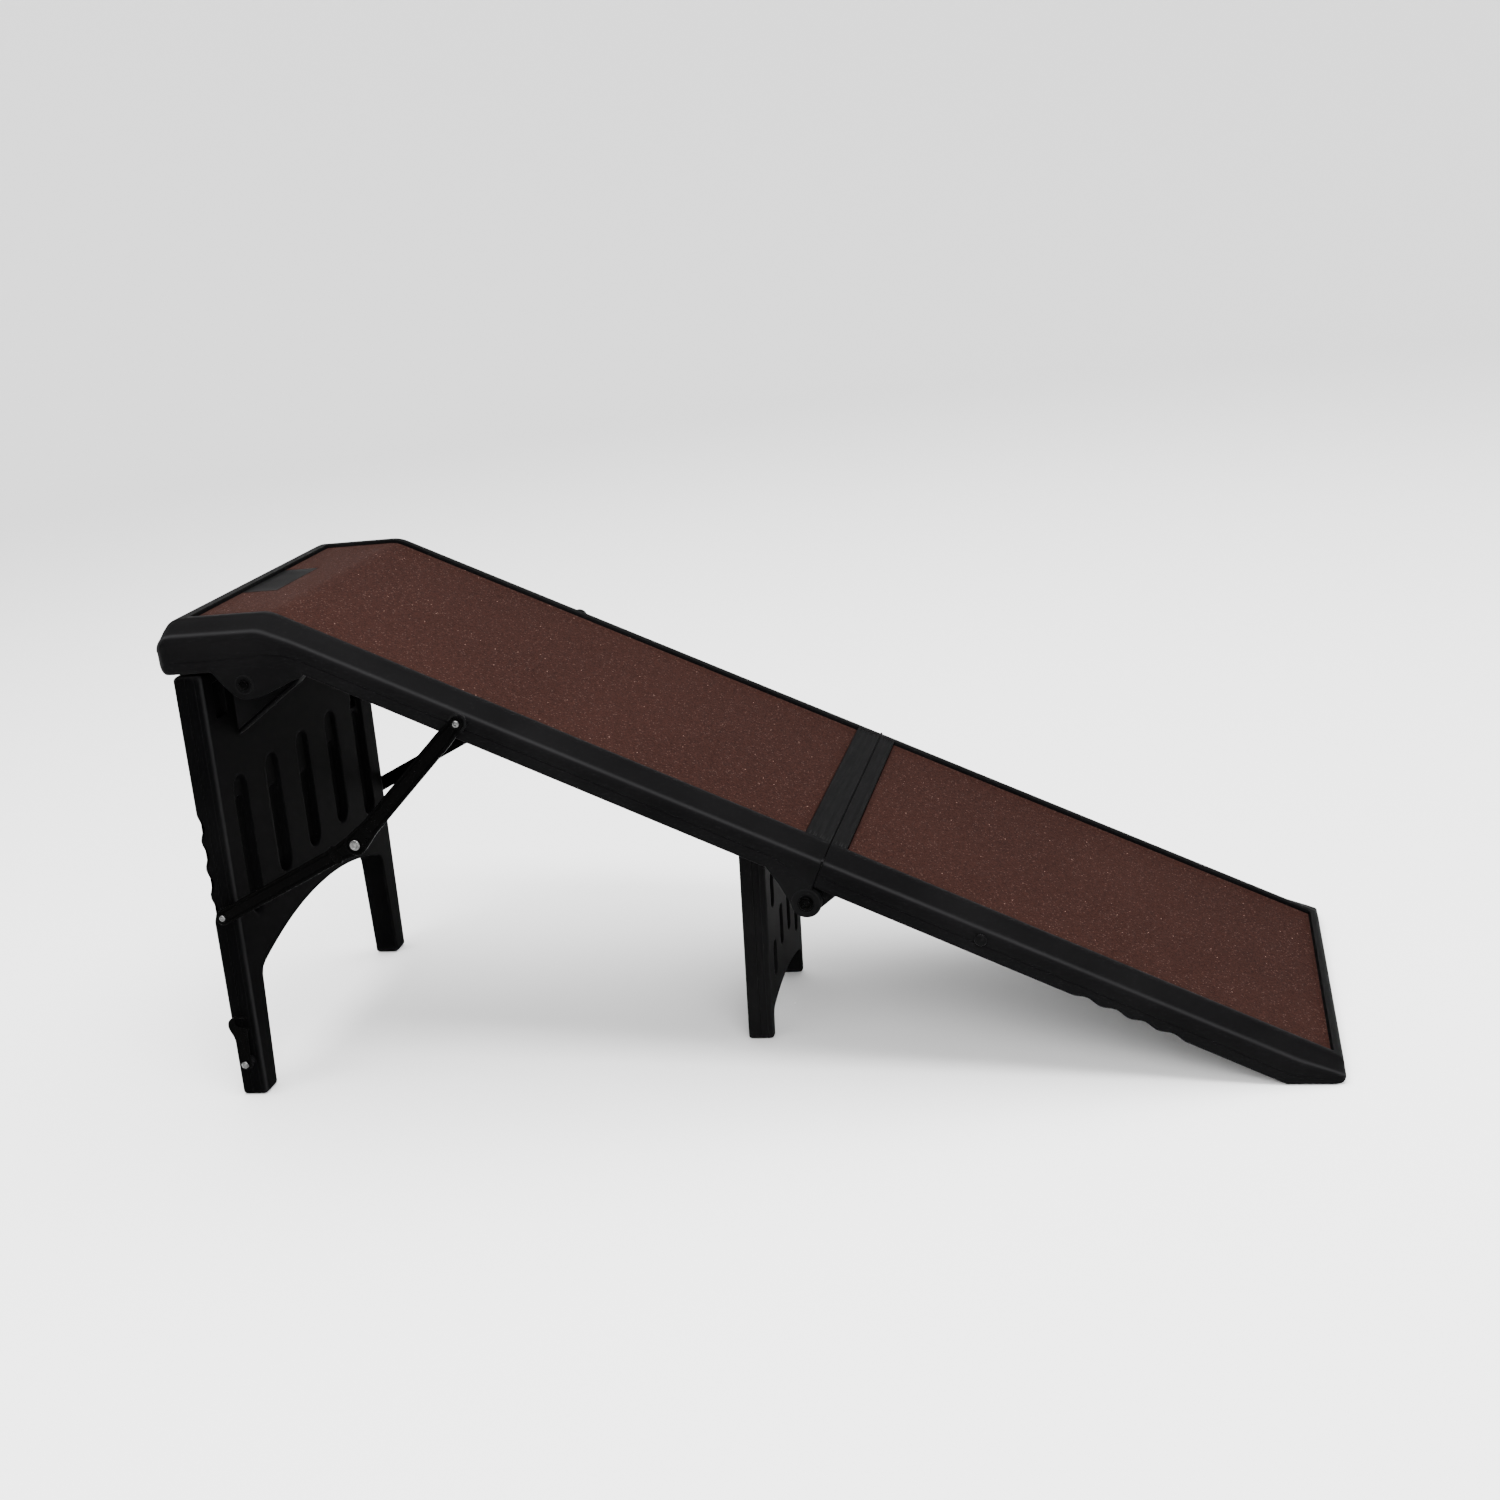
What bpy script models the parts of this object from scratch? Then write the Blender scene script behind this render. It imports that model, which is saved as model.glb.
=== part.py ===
"""A two-section folding pet ramp: a decked upper section with a level landing, a hinged lower section,
two folding support legs, a pair of folding braces and a side latch.

Metres, +Z up. +X runs down the ramp, +Y to its far side; the origin is under the middle of the footprint.
Lengths along x are given from the high end and shifted by LENGTH / 2 when a piece is built. Slope positions
are (s, p): s along the walking surface from the landing's bend, p square to it, downwards.
"""

import math

import bmesh
import bpy
from mathutils import Matrix

for old in list(bpy.data.objects):
    bpy.data.objects.remove(old, do_unlink=True)

# overall
LENGTH = 1.245
DECK_Z = 0.565  # walking surface of the landing
BEND_X = 0.130  # where the landing turns into the slope
SLOPE = math.radians(26.45)
GAP = 0.0003  # between touching pieces

# decks
RAIL_OUT = 0.236
RAIL_IN = 0.200
LIP_OUT = 0.201
POCKET_Y = 0.1945  # half width of the mat pocket
POCKET_DEPTH = 0.0030
LIP = 0.0040
PANEL_P = 0.024  # underside of the deck panel
RAIL_P = 0.036  # bottom edge of the rails
LANDING_BOTTOM = 0.512
SEAM_S = 0.665  # joint between the two decks
SEAM_HALF = 0.0006
UPPER_MAT_S = (-0.097, 0.6355)
LOWER_MAT_S = (0.6836, 1.2325)
END_LIP_S = 1.2400
MAT_CLEAR = 0.0006
MAT_HALF_Y = 0.1935
NOTCH_HALF_Y = 0.062
NOTCH_X = 0.078

# deck hinge
HINGE_SP = (SEAM_S, 0.055)
KNUCKLE_R = 0.0165
EAR_OUTER = (0.2220, RAIL_OUT)
EAR_INNER = (0.2065, 0.2215)

# tall leg
TALL_PIVOT = (0.104, 0.497)
TALL_HALF_Y = 0.228
TALL_TOP = 0.508
TALL_REAR = (0.0005, 0.0280)  # x at the floor, and its lean
TALL_FRONT = (0.0312, 0.0335)
ARCH_HALF_Y = 0.189
ARCH_FOOT_Y = 0.197
ARCH_SPRING = 0.136
ARCH_APEX = 0.179
ARCH_RADIUS = 0.520
LUG_Y = (0.131, 0.156)
LUG_R = 0.032
SLOT_Y = (0.0, 0.088, 0.174)
SLOT_HALF = 0.0155
SLOT_TOP = 0.377
SLOT_BOTTOM = (0.226, 0.226, 0.207)
SLOT_STEP = (0.327, 0.337, 0.352)

# middle leg
MID_PIVOT_SP = (0.5647, 0.040)
MID_HALF_Y = 0.102
MID_THICK = 0.030
MID_LEAN = 0.0610
MID_BORE = 0.0043

# braces, as (x, z)
BRACE_LEG = (0.026, 0.227)
BRACE_MID = (0.204, 0.309)
BRACE_RAIL = (0.344, 0.441)
LINK_IN = (0.2370, 0.2397)
LINK_OUT = (0.2400, 0.2427)

# latch
LATCH_PIVOT = (0.018, 0.044)
LATCH_REACH = 0.05276
PEG = (0.883, 0.174)
LATCH_Y = (0.2375, 0.2402)

ROD_R = 0.005
BORE_R = ROD_R + GAP


def shift(x):
    return x - LENGTH / 2


def on_slope(s, p):
    """World (x, z) of a point s along the slope and p below the walking surface."""
    return (
        BEND_X + s * math.cos(SLOPE) - p * math.sin(SLOPE),
        DECK_Z - s * math.sin(SLOPE) - p * math.cos(SLOPE),
    )


HINGE = on_slope(*HINGE_SP)
MID_PIVOT = on_slope(*MID_PIVOT_SP)


def material(name, colour, rough, metal=0.0):
    found = bpy.data.materials.get(name)
    if found:
        return found
    made = bpy.data.materials.new(name)
    made.use_nodes = True
    bsdf = made.node_tree.nodes["Principled BSDF"]
    bsdf.inputs["Base Color"].default_value = (*colour, 1.0)
    bsdf.inputs["Roughness"].default_value = rough
    bsdf.inputs["Metallic"].default_value = metal
    return made


MATERIALS = {
    "black_plastic": ((0.012, 0.012, 0.013), 0.42, 0.0),
    "brown_mat": ((0.075, 0.026, 0.019), 0.95, 0.0),
    "black_steel": ((0.006, 0.006, 0.007), 0.22, 0.3),
    "zinc_steel": ((0.62, 0.62, 0.63), 0.28, 1.0),
}


def add(name, bm, kind, pivot=None, smooth=False):
    """The bmesh as an object with one material, its origin on the pivot (x, z) where it turns."""
    bmesh.ops.remove_doubles(bm, verts=bm.verts, dist=1e-6)
    bmesh.ops.dissolve_degenerate(bm, edges=bm.edges, dist=1e-7)
    bmesh.ops.recalc_face_normals(bm, faces=bm.faces)
    origin = (shift(pivot[0]), 0.0, pivot[1]) if pivot else (0.0, 0.0, 0.0)
    bmesh.ops.translate(bm, verts=bm.verts, vec=[-v for v in origin])
    mesh = bpy.data.meshes.new(name)
    bm.to_mesh(mesh)
    bm.free()
    if smooth:
        mesh.shade_smooth()
        mesh.set_sharp_from_angle(angle=math.radians(35))
    obj = bpy.data.objects.new(name, mesh)
    bpy.context.scene.collection.objects.link(obj)
    obj.location = origin
    if kind:
        mesh.materials.append(material(name + "_" + kind, *MATERIALS[kind]))
    else:
        obj.hide_render = True
        obj.display_type = "WIRE"
    return obj


def combine(obj, operation, others):
    """Live Booleans of obj with each of the hidden others."""
    for other in others:
        modifier = obj.modifiers.new(operation.lower() + "_" + other.name, "BOOLEAN")
        modifier.operation = operation
        modifier.solver = "EXACT"
        modifier.object = other


def loft(loops):
    """A closed solid from rings of equal length, each a list of (x, y, z)."""
    bm = bmesh.new()
    rings = [[bm.verts.new((shift(x), y, z)) for x, y, z in loop] for loop in loops]
    n = len(rings[0])
    for a, b in zip(rings, rings[1:]):
        for i in range(n):
            j = (i + 1) % n
            bm.faces.new((a[i], a[j], b[j], b[i]))
    bm.faces.new(rings[0])
    bm.faces.new(rings[-1])
    return bm


def plate(points, y0, y1):
    """A side outline [(x, z)] carried from y0 to y1."""
    return loft([[(x, y, z) for x, z in points] for y in (y0, y1)])


def circle(centre, radius, count=24, start=0.0, turn=2 * math.pi, closed=True):
    steps = count if closed else count - 1
    return [
        (
            centre[0] + radius * math.cos(start + turn * i / steps),
            centre[1] + radius * math.sin(start + turn * i / steps),
        )
        for i in range(count)
    ]


def hull(points):
    """Convex outline of (x, z) points, anticlockwise."""
    points = sorted(set(points))

    def half(seq):
        out = []
        for q in seq:
            while len(out) > 1 and (
                (out[-1][0] - out[-2][0]) * (q[1] - out[-2][1])
                - (out[-1][1] - out[-2][1]) * (q[0] - out[-2][0])
            ) <= 1e-12:
                out.pop()
            out.append(q)
        return out[:-1]

    return half(points) + half(points[::-1])


def turned(name, kind, centre, profile, side, pivot=None, count=24):
    """A piece turned about a line along Y: profile is [(radius, distance from the middle plane)]."""
    loops = [
        [(x, side * y, z) for x, z in circle(centre, r, count)] for r, y in profile
    ]
    return add(name, loft(loops), kind, pivot, smooth=True)


def bore(name, centre, radius, y0, y1, pivot=None, count=20):
    return add(name, plate(circle(centre, radius, count), y0, y1), None, pivot)


def tube(name, kind, centre, radius, hole, y0, y1, side, pivot=None):
    """A round spacer with a through hole."""
    lo, hi = sorted((side * y0, side * y1))
    bm = bmesh.new()
    rings = []
    for y, r in ((lo, hole), (lo, radius), (hi, radius), (hi, hole)):
        rings.append([bm.verts.new((shift(x), y, z)) for x, z in circle(centre, r)])
    for a, b in zip(rings, rings[1:] + rings[:1]):
        for i in range(24):
            j = (i + 1) % 24
            bm.faces.new((a[i], a[j], b[j], b[i]))
    return add(name, bm, kind, pivot, smooth=True)


# ---- decks: side outlines stacked across the width ----

# (y, top kind, drop of the top, bottom kind, lift of the bottom, set-back of the ends)
SECTION = (
    (POCKET_Y, "pocket", 0.0, "panel", 0.0, 0.0),
    (POCKET_Y, "lip", 0.0, "panel", 0.0, 0.0),
    (RAIL_IN, "lip", 0.0, "panel", 0.0, 0.0),
    (RAIL_IN, "lip", 0.0, "rail", 0.0, 0.0),
    (LIP_OUT, "lip", 0.0, "rail", 0.0, 0.0),
    (0.2160, "lip", 0.0060, "rail", 0.0, 0.0007),
    (0.2270, "lip", 0.0105, "rail", 0.0, 0.0040),
    (0.2320, "lip", 0.0135, "rail", 0.0, 0.0075),
    (0.2350, "lip", 0.0172, "rail", 0.0008, 0.0110),
    (RAIL_OUT, "lip", 0.0215, "rail", 0.0035, 0.0150),
)


def upper_outline(top, drop, bottom, lift, back):
    """Side outline of the upper deck, from its high end over the top and back underneath."""
    n = LIP - drop
    floor = -POCKET_DEPTH if top == "pocket" else n
    seam = n if top == "pocket" else n
    s0, s1 = UPPER_MAT_S
    end = SEAM_S - SEAM_HALF
    z = DECK_Z
    low = LANDING_BOTTOM + lift
    under = z - PANEL_P if bottom == "panel" else low
    panel = PANEL_P if bottom == "panel" else RAIL_P - lift
    squash = (z + n - low) / (z + LIP - LANDING_BOTTOM)
    nose = [
        (0.0260, 0.0570), (0.0170, 0.0530), (0.0085, 0.0445), (0.0022, 0.0330),
        (0.0000, 0.0220), (0.0014, 0.0110), (0.0058, 0.0035), (0.0120, 0.0000),
    ]
    points = [(x + back, low + h * squash) for x, h in nose][::-1]
    lip_x = BEND_X + s0 + back * 0.87
    points += [(lip_x - 0.003, z + n), (lip_x, z + n), (lip_x, z + floor)]
    for step in range(5):
        turn = SLOPE * step / 4
        radius = 0.040
        reach = radius * math.tan(SLOPE / 2)
        points.append((
            BEND_X - reach + (radius + floor) * math.sin(turn),
            z - radius + (radius + floor) * math.cos(turn),
        ))
    points += [on_slope(s1, -floor), on_slope(s1, -seam), on_slope(end, -seam)]
    points += [on_slope(end, RAIL_P - lift), on_slope(end - 0.024, RAIL_P - lift)]
    points += [on_slope(end - 0.024, panel)]
    corner = (z - panel / math.cos(SLOPE) - under) / math.tan(SLOPE) + BEND_X
    points += [(corner, under), (0.045, under), (0.045, low)]
    return points


def lower_outline(top, drop, bottom, lift, back):
    """Side outline of the lower deck, from the seam over the top to its low end and back."""
    n = LIP - drop
    floor = -POCKET_DEPTH if top == "pocket" else n
    s0, s1 = LOWER_MAT_S
    start = SEAM_S + SEAM_HALF
    panel = PANEL_P if bottom == "panel" else RAIL_P - lift
    back = back * 0.35
    points = [on_slope(start, -n), on_slope(s0, -n), on_slope(s0, -floor)]
    low_n = LIP - min(drop, 0.0085)
    low_floor = -POCKET_DEPTH if top == "pocket" else low_n
    points += [on_slope(s1 - 0.070, -floor), on_slope(s1, -low_floor), on_slope(s1, -low_n)]
    points += [on_slope(END_LIP_S - 0.003 - back, -low_n)]
    tip_x, tip_z = on_slope(END_LIP_S - back, -low_n + 0.0012)
    face_x = LENGTH - back
    points += [(tip_x, tip_z)]
    points += [(face_x, min(0.0125, tip_z - 0.0010)), (face_x, 0.0030 + lift * 0.4)]
    points += [(face_x - 0.0025, lift)]
    touch = (DECK_Z - (RAIL_P - lift) * math.cos(SLOPE) - lift) / math.sin(SLOPE)
    points += [on_slope(touch, RAIL_P - lift)]
    points += [on_slope(1.165, RAIL_P - lift), on_slope(1.165, panel)]
    points += [on_slope(start + 0.024, panel), on_slope(start + 0.024, RAIL_P - lift)]
    points += [on_slope(start, RAIL_P - lift)]
    return points


def deck(name, outline, kind):
    loops = []
    for side, rows in ((-1, SECTION[::-1]), (1, SECTION)):
        for y, *how in rows:
            loops.append([(x, side * y, z) for x, z in outline(*how)])
    return add(name, loft(loops), kind, HINGE if name == "lower_deck" else None)


upper = deck("upper_deck", upper_outline, "black_plastic")
lower = deck("lower_deck", lower_outline, "black_plastic")

EAR = [
    (0.064, 0.5185), (0.070, 0.509), (0.079, 0.496), (0.090, 0.4845), (0.100, 0.480), (0.113, 0.4805),
    (0.130, 0.4850), (0.148, 0.492), (0.163, 0.4985), (0.178, 0.5000), (0.170, 0.5185),
]
WEB = [(0.606, 0.0315), (0.631, 0.0475), (0.648, 0.062)]
INNER_WEB = [(0.634, 0.0315), (0.6400, 0.0430), (0.6470, 0.0570)]
seam_edge = [(SEAM_S - SEAM_HALF - 0.0004, 0.0315)]


def web_outline(mirror):
    disc = circle(HINGE_SP, KNUCKLE_R, 19, math.radians(148), -math.radians(237), closed=False)
    points = (INNER_WEB if mirror else WEB) + disc + seam_edge
    return [on_slope(2 * SEAM_S - s if mirror else s, p) for s, p in points]


for side, tag in ((-1, "near"), (1, "far")):
    ear = add(f"form_ear_{tag}", plate(EAR, side * EAR_OUTER[0], side * (RAIL_OUT - 0.0005)), None)
    web = add(
        f"form_web_{tag}",
        plate(web_outline(False), side * EAR_OUTER[0], side * (RAIL_OUT - 0.0005)), None,
    )
    boss_lo, boss_hi = 0.1050, 0.1190
    boss_points = hull(
        circle(MID_PIVOT_SP, 0.0115, 16)
        + [(MID_PIVOT_SP[0] - 0.020, PANEL_P - 0.004), (MID_PIVOT_SP[0] + 0.020, PANEL_P - 0.004)]
    )
    boss = add(
        f"form_boss_{tag}",
        plate([on_slope(*q) for q in boss_points], side * boss_lo, side * boss_hi), None,
    )
    combine(upper, "UNION", [ear, web, boss])
    inner = add(
        f"form_inner_web_{tag}",
        plate(web_outline(True), side * EAR_INNER[0], side * EAR_INNER[1]), None, HINGE,
    )
    combine(lower, "UNION", [inner])
    combine(upper, "DIFFERENCE", [
        bore(f"cut_ear_{tag}", TALL_PIVOT, BORE_R, side * 0.215, side * 0.245),
        bore(f"cut_hinge_{tag}", HINGE, BORE_R, side * 0.215, side * 0.245),
        bore(f"cut_brace_{tag}", BRACE_RAIL, 0.0043, side * 0.218, side * 0.245),
    ])
    combine(lower, "DIFFERENCE", [
        bore(f"cut_inner_hinge_{tag}", HINGE, BORE_R, side * 0.190, side * 0.230, HINGE),
    ])
combine(upper, "DIFFERENCE", [bore("cut_mid_rod", MID_PIVOT, MID_BORE, -0.125, 0.125)])

for i in range(4):
    grip = on_slope(0.9740 + 0.0320 * i, RAIL_P + 0.0115)
    cutter = add(f"cut_grip_{i}", plate(circle(grip, 0.0150, 20), -0.245, -0.2085), None, HINGE)
    combine(lower, "DIFFERENCE", [cutter])
combine(lower, "DIFFERENCE", [bore("cut_peg", PEG, 0.0043, -0.245, -0.218, HINGE)])


# ---- tread mats ----

def mat(name, s0, s1, notch, pivot=None):
    top, low = 0.0, -POCKET_DEPTH + GAP
    s0, s1 = s0 + MAT_CLEAR, s1 - MAT_CLEAR

    def row(n, s):
        if s >= 0.010:
            return on_slope(s, -n)
        if s <= -0.010:
            return (BEND_X + s, DECK_Z + n)
        turn = SLOPE * (s + 0.010) / 0.020
        return (
            BEND_X - 0.040 * math.tan(SLOPE / 2) + (0.040 + n) * math.sin(turn),
            DECK_Z - 0.040 + (0.040 + n) * math.cos(turn),
        )

    stations = [s0, s1] if s0 > 0 else [s0, -0.010, -0.005, 0.0, 0.005, 0.010, s1]
    outline = [row(top, s) for s in stations] + [row(low, s) for s in stations[::-1]]
    obj = add(name, plate(outline, -MAT_HALF_Y, MAT_HALF_Y), "brown_mat", pivot)
    if notch:
        box = [(-0.01, 0.55), (NOTCH_X, 0.55), (NOTCH_X, 0.58), (-0.01, 0.58)]
        combine(obj, "DIFFERENCE", [add("cut_notch", plate(box, -NOTCH_HALF_Y, NOTCH_HALF_Y), None)])
    return obj


mat("upper_tread_mat", *UPPER_MAT_S, True)
mat("lower_tread_mat", *LOWER_MAT_S, False, HINGE)
pad_clear = 0.0008
pad = [
    (BEND_X + UPPER_MAT_S[0] - 0.002, DECK_Z - POCKET_DEPTH - 0.002),
    (NOTCH_X - pad_clear, DECK_Z - POCKET_DEPTH - 0.002),
    (NOTCH_X - pad_clear, DECK_Z), (BEND_X + UPPER_MAT_S[0] - 0.002, DECK_Z),
]
combine(upper, "UNION", [
    add("form_pad", plate(pad, -NOTCH_HALF_Y + pad_clear, NOTCH_HALF_Y - pad_clear), None)
])


# ---- tall leg ----

def tall_x(u, z):
    rear = TALL_REAR[0] + TALL_REAR[1] * z
    front = TALL_FRONT[0] + TALL_FRONT[1] * z
    return rear + u * (front - rear)


def arch(half, foot, spring, apex, radius, corner, count=12):
    """Inner edge of an arch from the -Y foot to the +Y foot: a shallow arc on rounded shoulders."""
    reach = half - corner
    curve = [
        (y, apex - y * y / (2 * radius))
        for y in (reach * (2 * i / count - 1) for i in range(count + 1))
    ]
    low = curve[0][1]
    shoulder = [(half - corner * 0.3, spring + (low - spring) * 0.62)]
    left = [(-foot, 0.0), (-half, spring)] + [(-y, z) for y, z in shoulder]
    return left + curve + [(-y, z) for y, z in left[::-1]]


def leg_body(name, outline, x_at, kind, pivot, edge):
    """An outline in (y, z) given the leg's thickness, its long edges rounded by `edge` fractions."""
    loops = []
    for u, inset in ((0.0, edge), (0.16, 0.0), (0.84, 0.0), (1.0, edge)):
        ring = []
        for k, (y, z) in enumerate(outline):
            if abs(y) > outline_half(outline) - 1e-6 and z >= 0:
                y = math.copysign(abs(y) - inset, y)
            if z > outline_top(outline) - 1e-6:
                z -= inset
            ring.append((x_at(u, z), y, z))
        loops.append(ring)
    return add(name, loft(loops), kind, pivot)


def outline_half(outline):
    return max(abs(y) for y, _ in outline)


def outline_top(outline):
    return max(z for _, z in outline)


tall_outline = arch(ARCH_HALF_Y, ARCH_FOOT_Y, ARCH_SPRING, ARCH_APEX, ARCH_RADIUS, 0.012) + [
    (TALL_HALF_Y, 0.0), (TALL_HALF_Y, TALL_TOP), (-TALL_HALF_Y, TALL_TOP), (-TALL_HALF_Y, 0.0),
]
tall = leg_body("tall_leg_panel", tall_outline, tall_x, "black_plastic", TALL_PIVOT, 0.004)

for side, tag in ((-1, "near"), (1, "far")):
    root = [(tall_x(0.5, 0.422), 0.422), (tall_x(0.97, 0.418), 0.418), (tall_x(0.5, 0.500), 0.500)]
    lug = add(
        f"form_lug_{tag}",
        plate(hull(root + circle(TALL_PIVOT, LUG_R, 28)), side * LUG_Y[0], side * LUG_Y[1]),
        None, TALL_PIVOT,
    )
    combine(tall, "UNION", [lug])
    combine(tall, "DIFFERENCE", [
        bore(f"cut_leg_bolt_{tag}", BRACE_LEG, 0.0043, side * 0.208, side * 0.235, TALL_PIVOT),
    ])
combine(tall, "DIFFERENCE", [
    bore("cut_lug_rod", TALL_PIVOT, BORE_R, -0.165, 0.165, TALL_PIVOT),
    bore("cut_latch_rivet", LATCH_PIVOT, 0.0033, -0.235, -0.212, TALL_PIVOT),
])


def slot(name, y, half, bottom, top, x_at, depth, pivot, target):
    """A round-ended recess in a leg's front face."""
    ring = circle((y, top - half), half, 9, 0.0, math.pi, closed=False)
    ring += circle((y, bottom + half), half, 9, math.pi, math.pi, closed=False)
    loops = [
        [(x_at(1.0, z) - depth, yy, z) for yy, z in ring],
        [(x_at(1.0, z) + 0.01, yy, z) for yy, z in ring],
    ]
    combine(target, "DIFFERENCE", [add(name, loft(loops), None, pivot)])


for i in range(-2, 3):
    k = abs(i)
    y = math.copysign(SLOT_Y[k], i) if i else 0.0
    slot(f"cut_slot_{i + 2}", y, SLOT_HALF, SLOT_BOTTOM[k], SLOT_TOP, tall_x, 0.006, TALL_PIVOT, tall)
    slot(f"cut_deep_{i + 2}", y, SLOT_HALF - 0.0025, SLOT_BOTTOM[k] + 0.0025, SLOT_STEP[k], tall_x,
         0.016, TALL_PIVOT, tall)
for side, tag in ((-1, "near"), (1, "far")):
    slot(f"cut_pocket_{tag}", side * 0.1890, 0.0140, 0.4500, 0.4930, tall_x, 0.006, TALL_PIVOT, tall)

for i in range(4):
    z = 0.2320 + 0.0330 * i
    grip = (tall_x(0.0, z) - 0.0140, z)
    cutter = add(f"cut_leg_grip_{i}", plate(circle(grip, 0.0185, 20), -0.235, -0.205), None, TALL_PIVOT)
    combine(tall, "DIFFERENCE", [cutter])


# ---- middle leg ----

def mid_x(u, z):
    return MID_PIVOT[0] - (MID_PIVOT[1] - z) * MID_LEAN + (u - 0.5) * MID_THICK


mid_outline = arch(0.0885, 0.0900, 0.026, 0.046, 0.300, 0.008, 8) + [
    (MID_HALF_Y, 0.0), (MID_HALF_Y, MID_PIVOT[1] - 0.012),
    (-MID_HALF_Y, MID_PIVOT[1] - 0.012), (-MID_HALF_Y, 0.0),
]
mid = leg_body("mid_leg_panel", mid_outline, mid_x, "black_plastic", MID_PIVOT, 0.0)
barrel_points = circle(MID_PIVOT, MID_THICK / 2, 24)
combine(mid, "UNION", [
    add("form_mid_barrel", plate(hull(barrel_points + [
        (mid_x(0.0, MID_PIVOT[1] - 0.020), MID_PIVOT[1] - 0.020),
        (mid_x(1.0, MID_PIVOT[1] - 0.020), MID_PIVOT[1] - 0.020),
    ]), -MID_HALF_Y, MID_HALF_Y), None, MID_PIVOT)
])
combine(mid, "DIFFERENCE", [bore("cut_mid_barrel", MID_PIVOT, MID_BORE, -0.11, 0.11, MID_PIVOT)])
for i, (y, bottom, top) in enumerate((
    (-0.067, 0.066, 0.110), (-0.067, 0.150, 0.196), (0.067, 0.066, 0.110), (0.067, 0.150, 0.196),
    (-0.0225, 0.086, 0.138), (0.0225, 0.086, 0.138),
)):
    slot(f"cut_mid_slot_{i}", y, 0.0085, bottom, top, mid_x, 0.010, MID_PIVOT, mid)


# ---- rods, hinge bolts, braces and latch ----

def rod(name, centre, radius, half):
    loops = [[(x, y, z) for x, z in circle(centre, radius, 20)] for y in (-half, half)]
    return add(name, loft(loops), "zinc_steel", None, smooth=True)


def cap(name, centre, radius, y0, y1, side, kind, pivot=None):
    """A low domed head whose flat side is at y0."""
    t = y1 - y0
    profile = [(radius, y0), (radius, y0 + 0.45 * t), (radius * 0.86, y0 + 0.8 * t), (radius * 0.55, y1)]
    return turned(name, kind, centre, profile, side, pivot)


def bolt(name, centre, head, shank, y_in, y_seat, y_out, side, kind, pivot=None):
    """A domed head from y_seat to y_out with its shank reaching in to y_in."""
    t = y_out - y_seat
    profile = [
        (shank, y_in), (shank, y_seat), (head, y_seat), (head, y_seat + 0.45 * t),
        (head * 0.86, y_seat + 0.8 * t), (head * 0.55, y_out),
    ]
    return turned(name, kind, centre, profile, side, pivot)


def link(name, ends, radii, layer, side, holes, pivot):
    points = hull(circle(ends[0], radii[0], 24) + circle(ends[1], radii[1], 24))
    obj = add(name, plate(points, side * layer[0], side * layer[1]), "black_steel", pivot)
    for i, (centre, radius) in enumerate(holes):
        combine(obj, "DIFFERENCE", [
            bore(f"cut_{name}_{i}", centre, radius, side * 0.230, side * 0.250, pivot),
        ])
    return obj


rod("tall_leg_hinge_rod", TALL_PIVOT, ROD_R, RAIL_OUT + 0.0002)
rod("mid_leg_hinge_rod", MID_PIVOT, 0.0040, 0.1195)

for side, tag in ((-1, "near"), (1, "far")):
    cap(f"tall_leg_rod_cap_{tag}", TALL_PIVOT, 0.0078, RAIL_OUT + 0.0005, RAIL_OUT + 0.0032, side,
        "zinc_steel")
    bolt(f"deck_hinge_bolt_{tag}", HINGE, 0.0080, ROD_R, 0.2030, RAIL_OUT, RAIL_OUT + 0.0035, side,
         "black_steel")
    tube(f"deck_hinge_nut_{tag}", "zinc_steel", HINGE, 0.0085, BORE_R, 0.2031, 0.2062, side)
    link(f"brace_lower_link_{tag}", (BRACE_LEG, BRACE_MID), (0.0095, 0.0120), LINK_IN, side,
         [(BRACE_LEG, 0.0043)], BRACE_LEG)
    link(f"brace_upper_link_{tag}", (BRACE_RAIL, BRACE_MID), (0.0085, 0.0125), LINK_OUT, side,
         [(BRACE_RAIL, 0.0043), (BRACE_MID, 0.0038)], BRACE_RAIL)
    bolt(f"brace_mid_rivet_{tag}", BRACE_MID, 0.0070, 0.0035, 0.24005, 0.2430, 0.2458, side,
         "zinc_steel", BRACE_RAIL)
    bolt(f"brace_rail_bolt_{tag}", BRACE_RAIL, 0.0056, 0.0040, 0.2200, 0.2430, 0.2463, side,
         "zinc_steel")
    tube(f"brace_rail_bush_{tag}", "black_plastic", BRACE_RAIL, 0.0105, 0.0043, 0.2363, 0.2397, side)
    bolt(f"brace_leg_bolt_{tag}", BRACE_LEG, 0.0058, 0.0040, 0.2100, 0.2400, 0.2430, side,
         "zinc_steel", TALL_PIVOT)
    tube(f"brace_leg_spacer_{tag}", "black_plastic", BRACE_LEG, 0.0095, 0.0043, 0.2283, 0.2367, side,
         TALL_PIVOT)

hook_end = (LATCH_PIVOT[0] + 0.0020, LATCH_PIVOT[1] + LATCH_REACH)
hook = add(
    "latch_hook",
    plate(hull(circle(LATCH_PIVOT, 0.0070, 20) + circle((hook_end[0], hook_end[1] - 0.001), 0.0095, 20)),
          -LATCH_Y[0], -LATCH_Y[1]),
    "black_steel", LATCH_PIVOT,
)
nose = add(
    "form_hook_nose",
    plate(hull(circle((hook_end[0] - 0.0085, hook_end[1] - 0.004), 0.0060, 16)
               + circle((hook_end[0] - 0.004, hook_end[1] - 0.026), 0.0045, 16)),
          -LATCH_Y[0] + 0.00001, -LATCH_Y[1] - 0.00001), None, LATCH_PIVOT,
)
combine(hook, "UNION", [nose])
mouth = hull(circle(hook_end, 0.0048, 20) + circle((hook_end[0] + 0.016, hook_end[1] - 0.002), 0.0052, 20))
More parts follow.
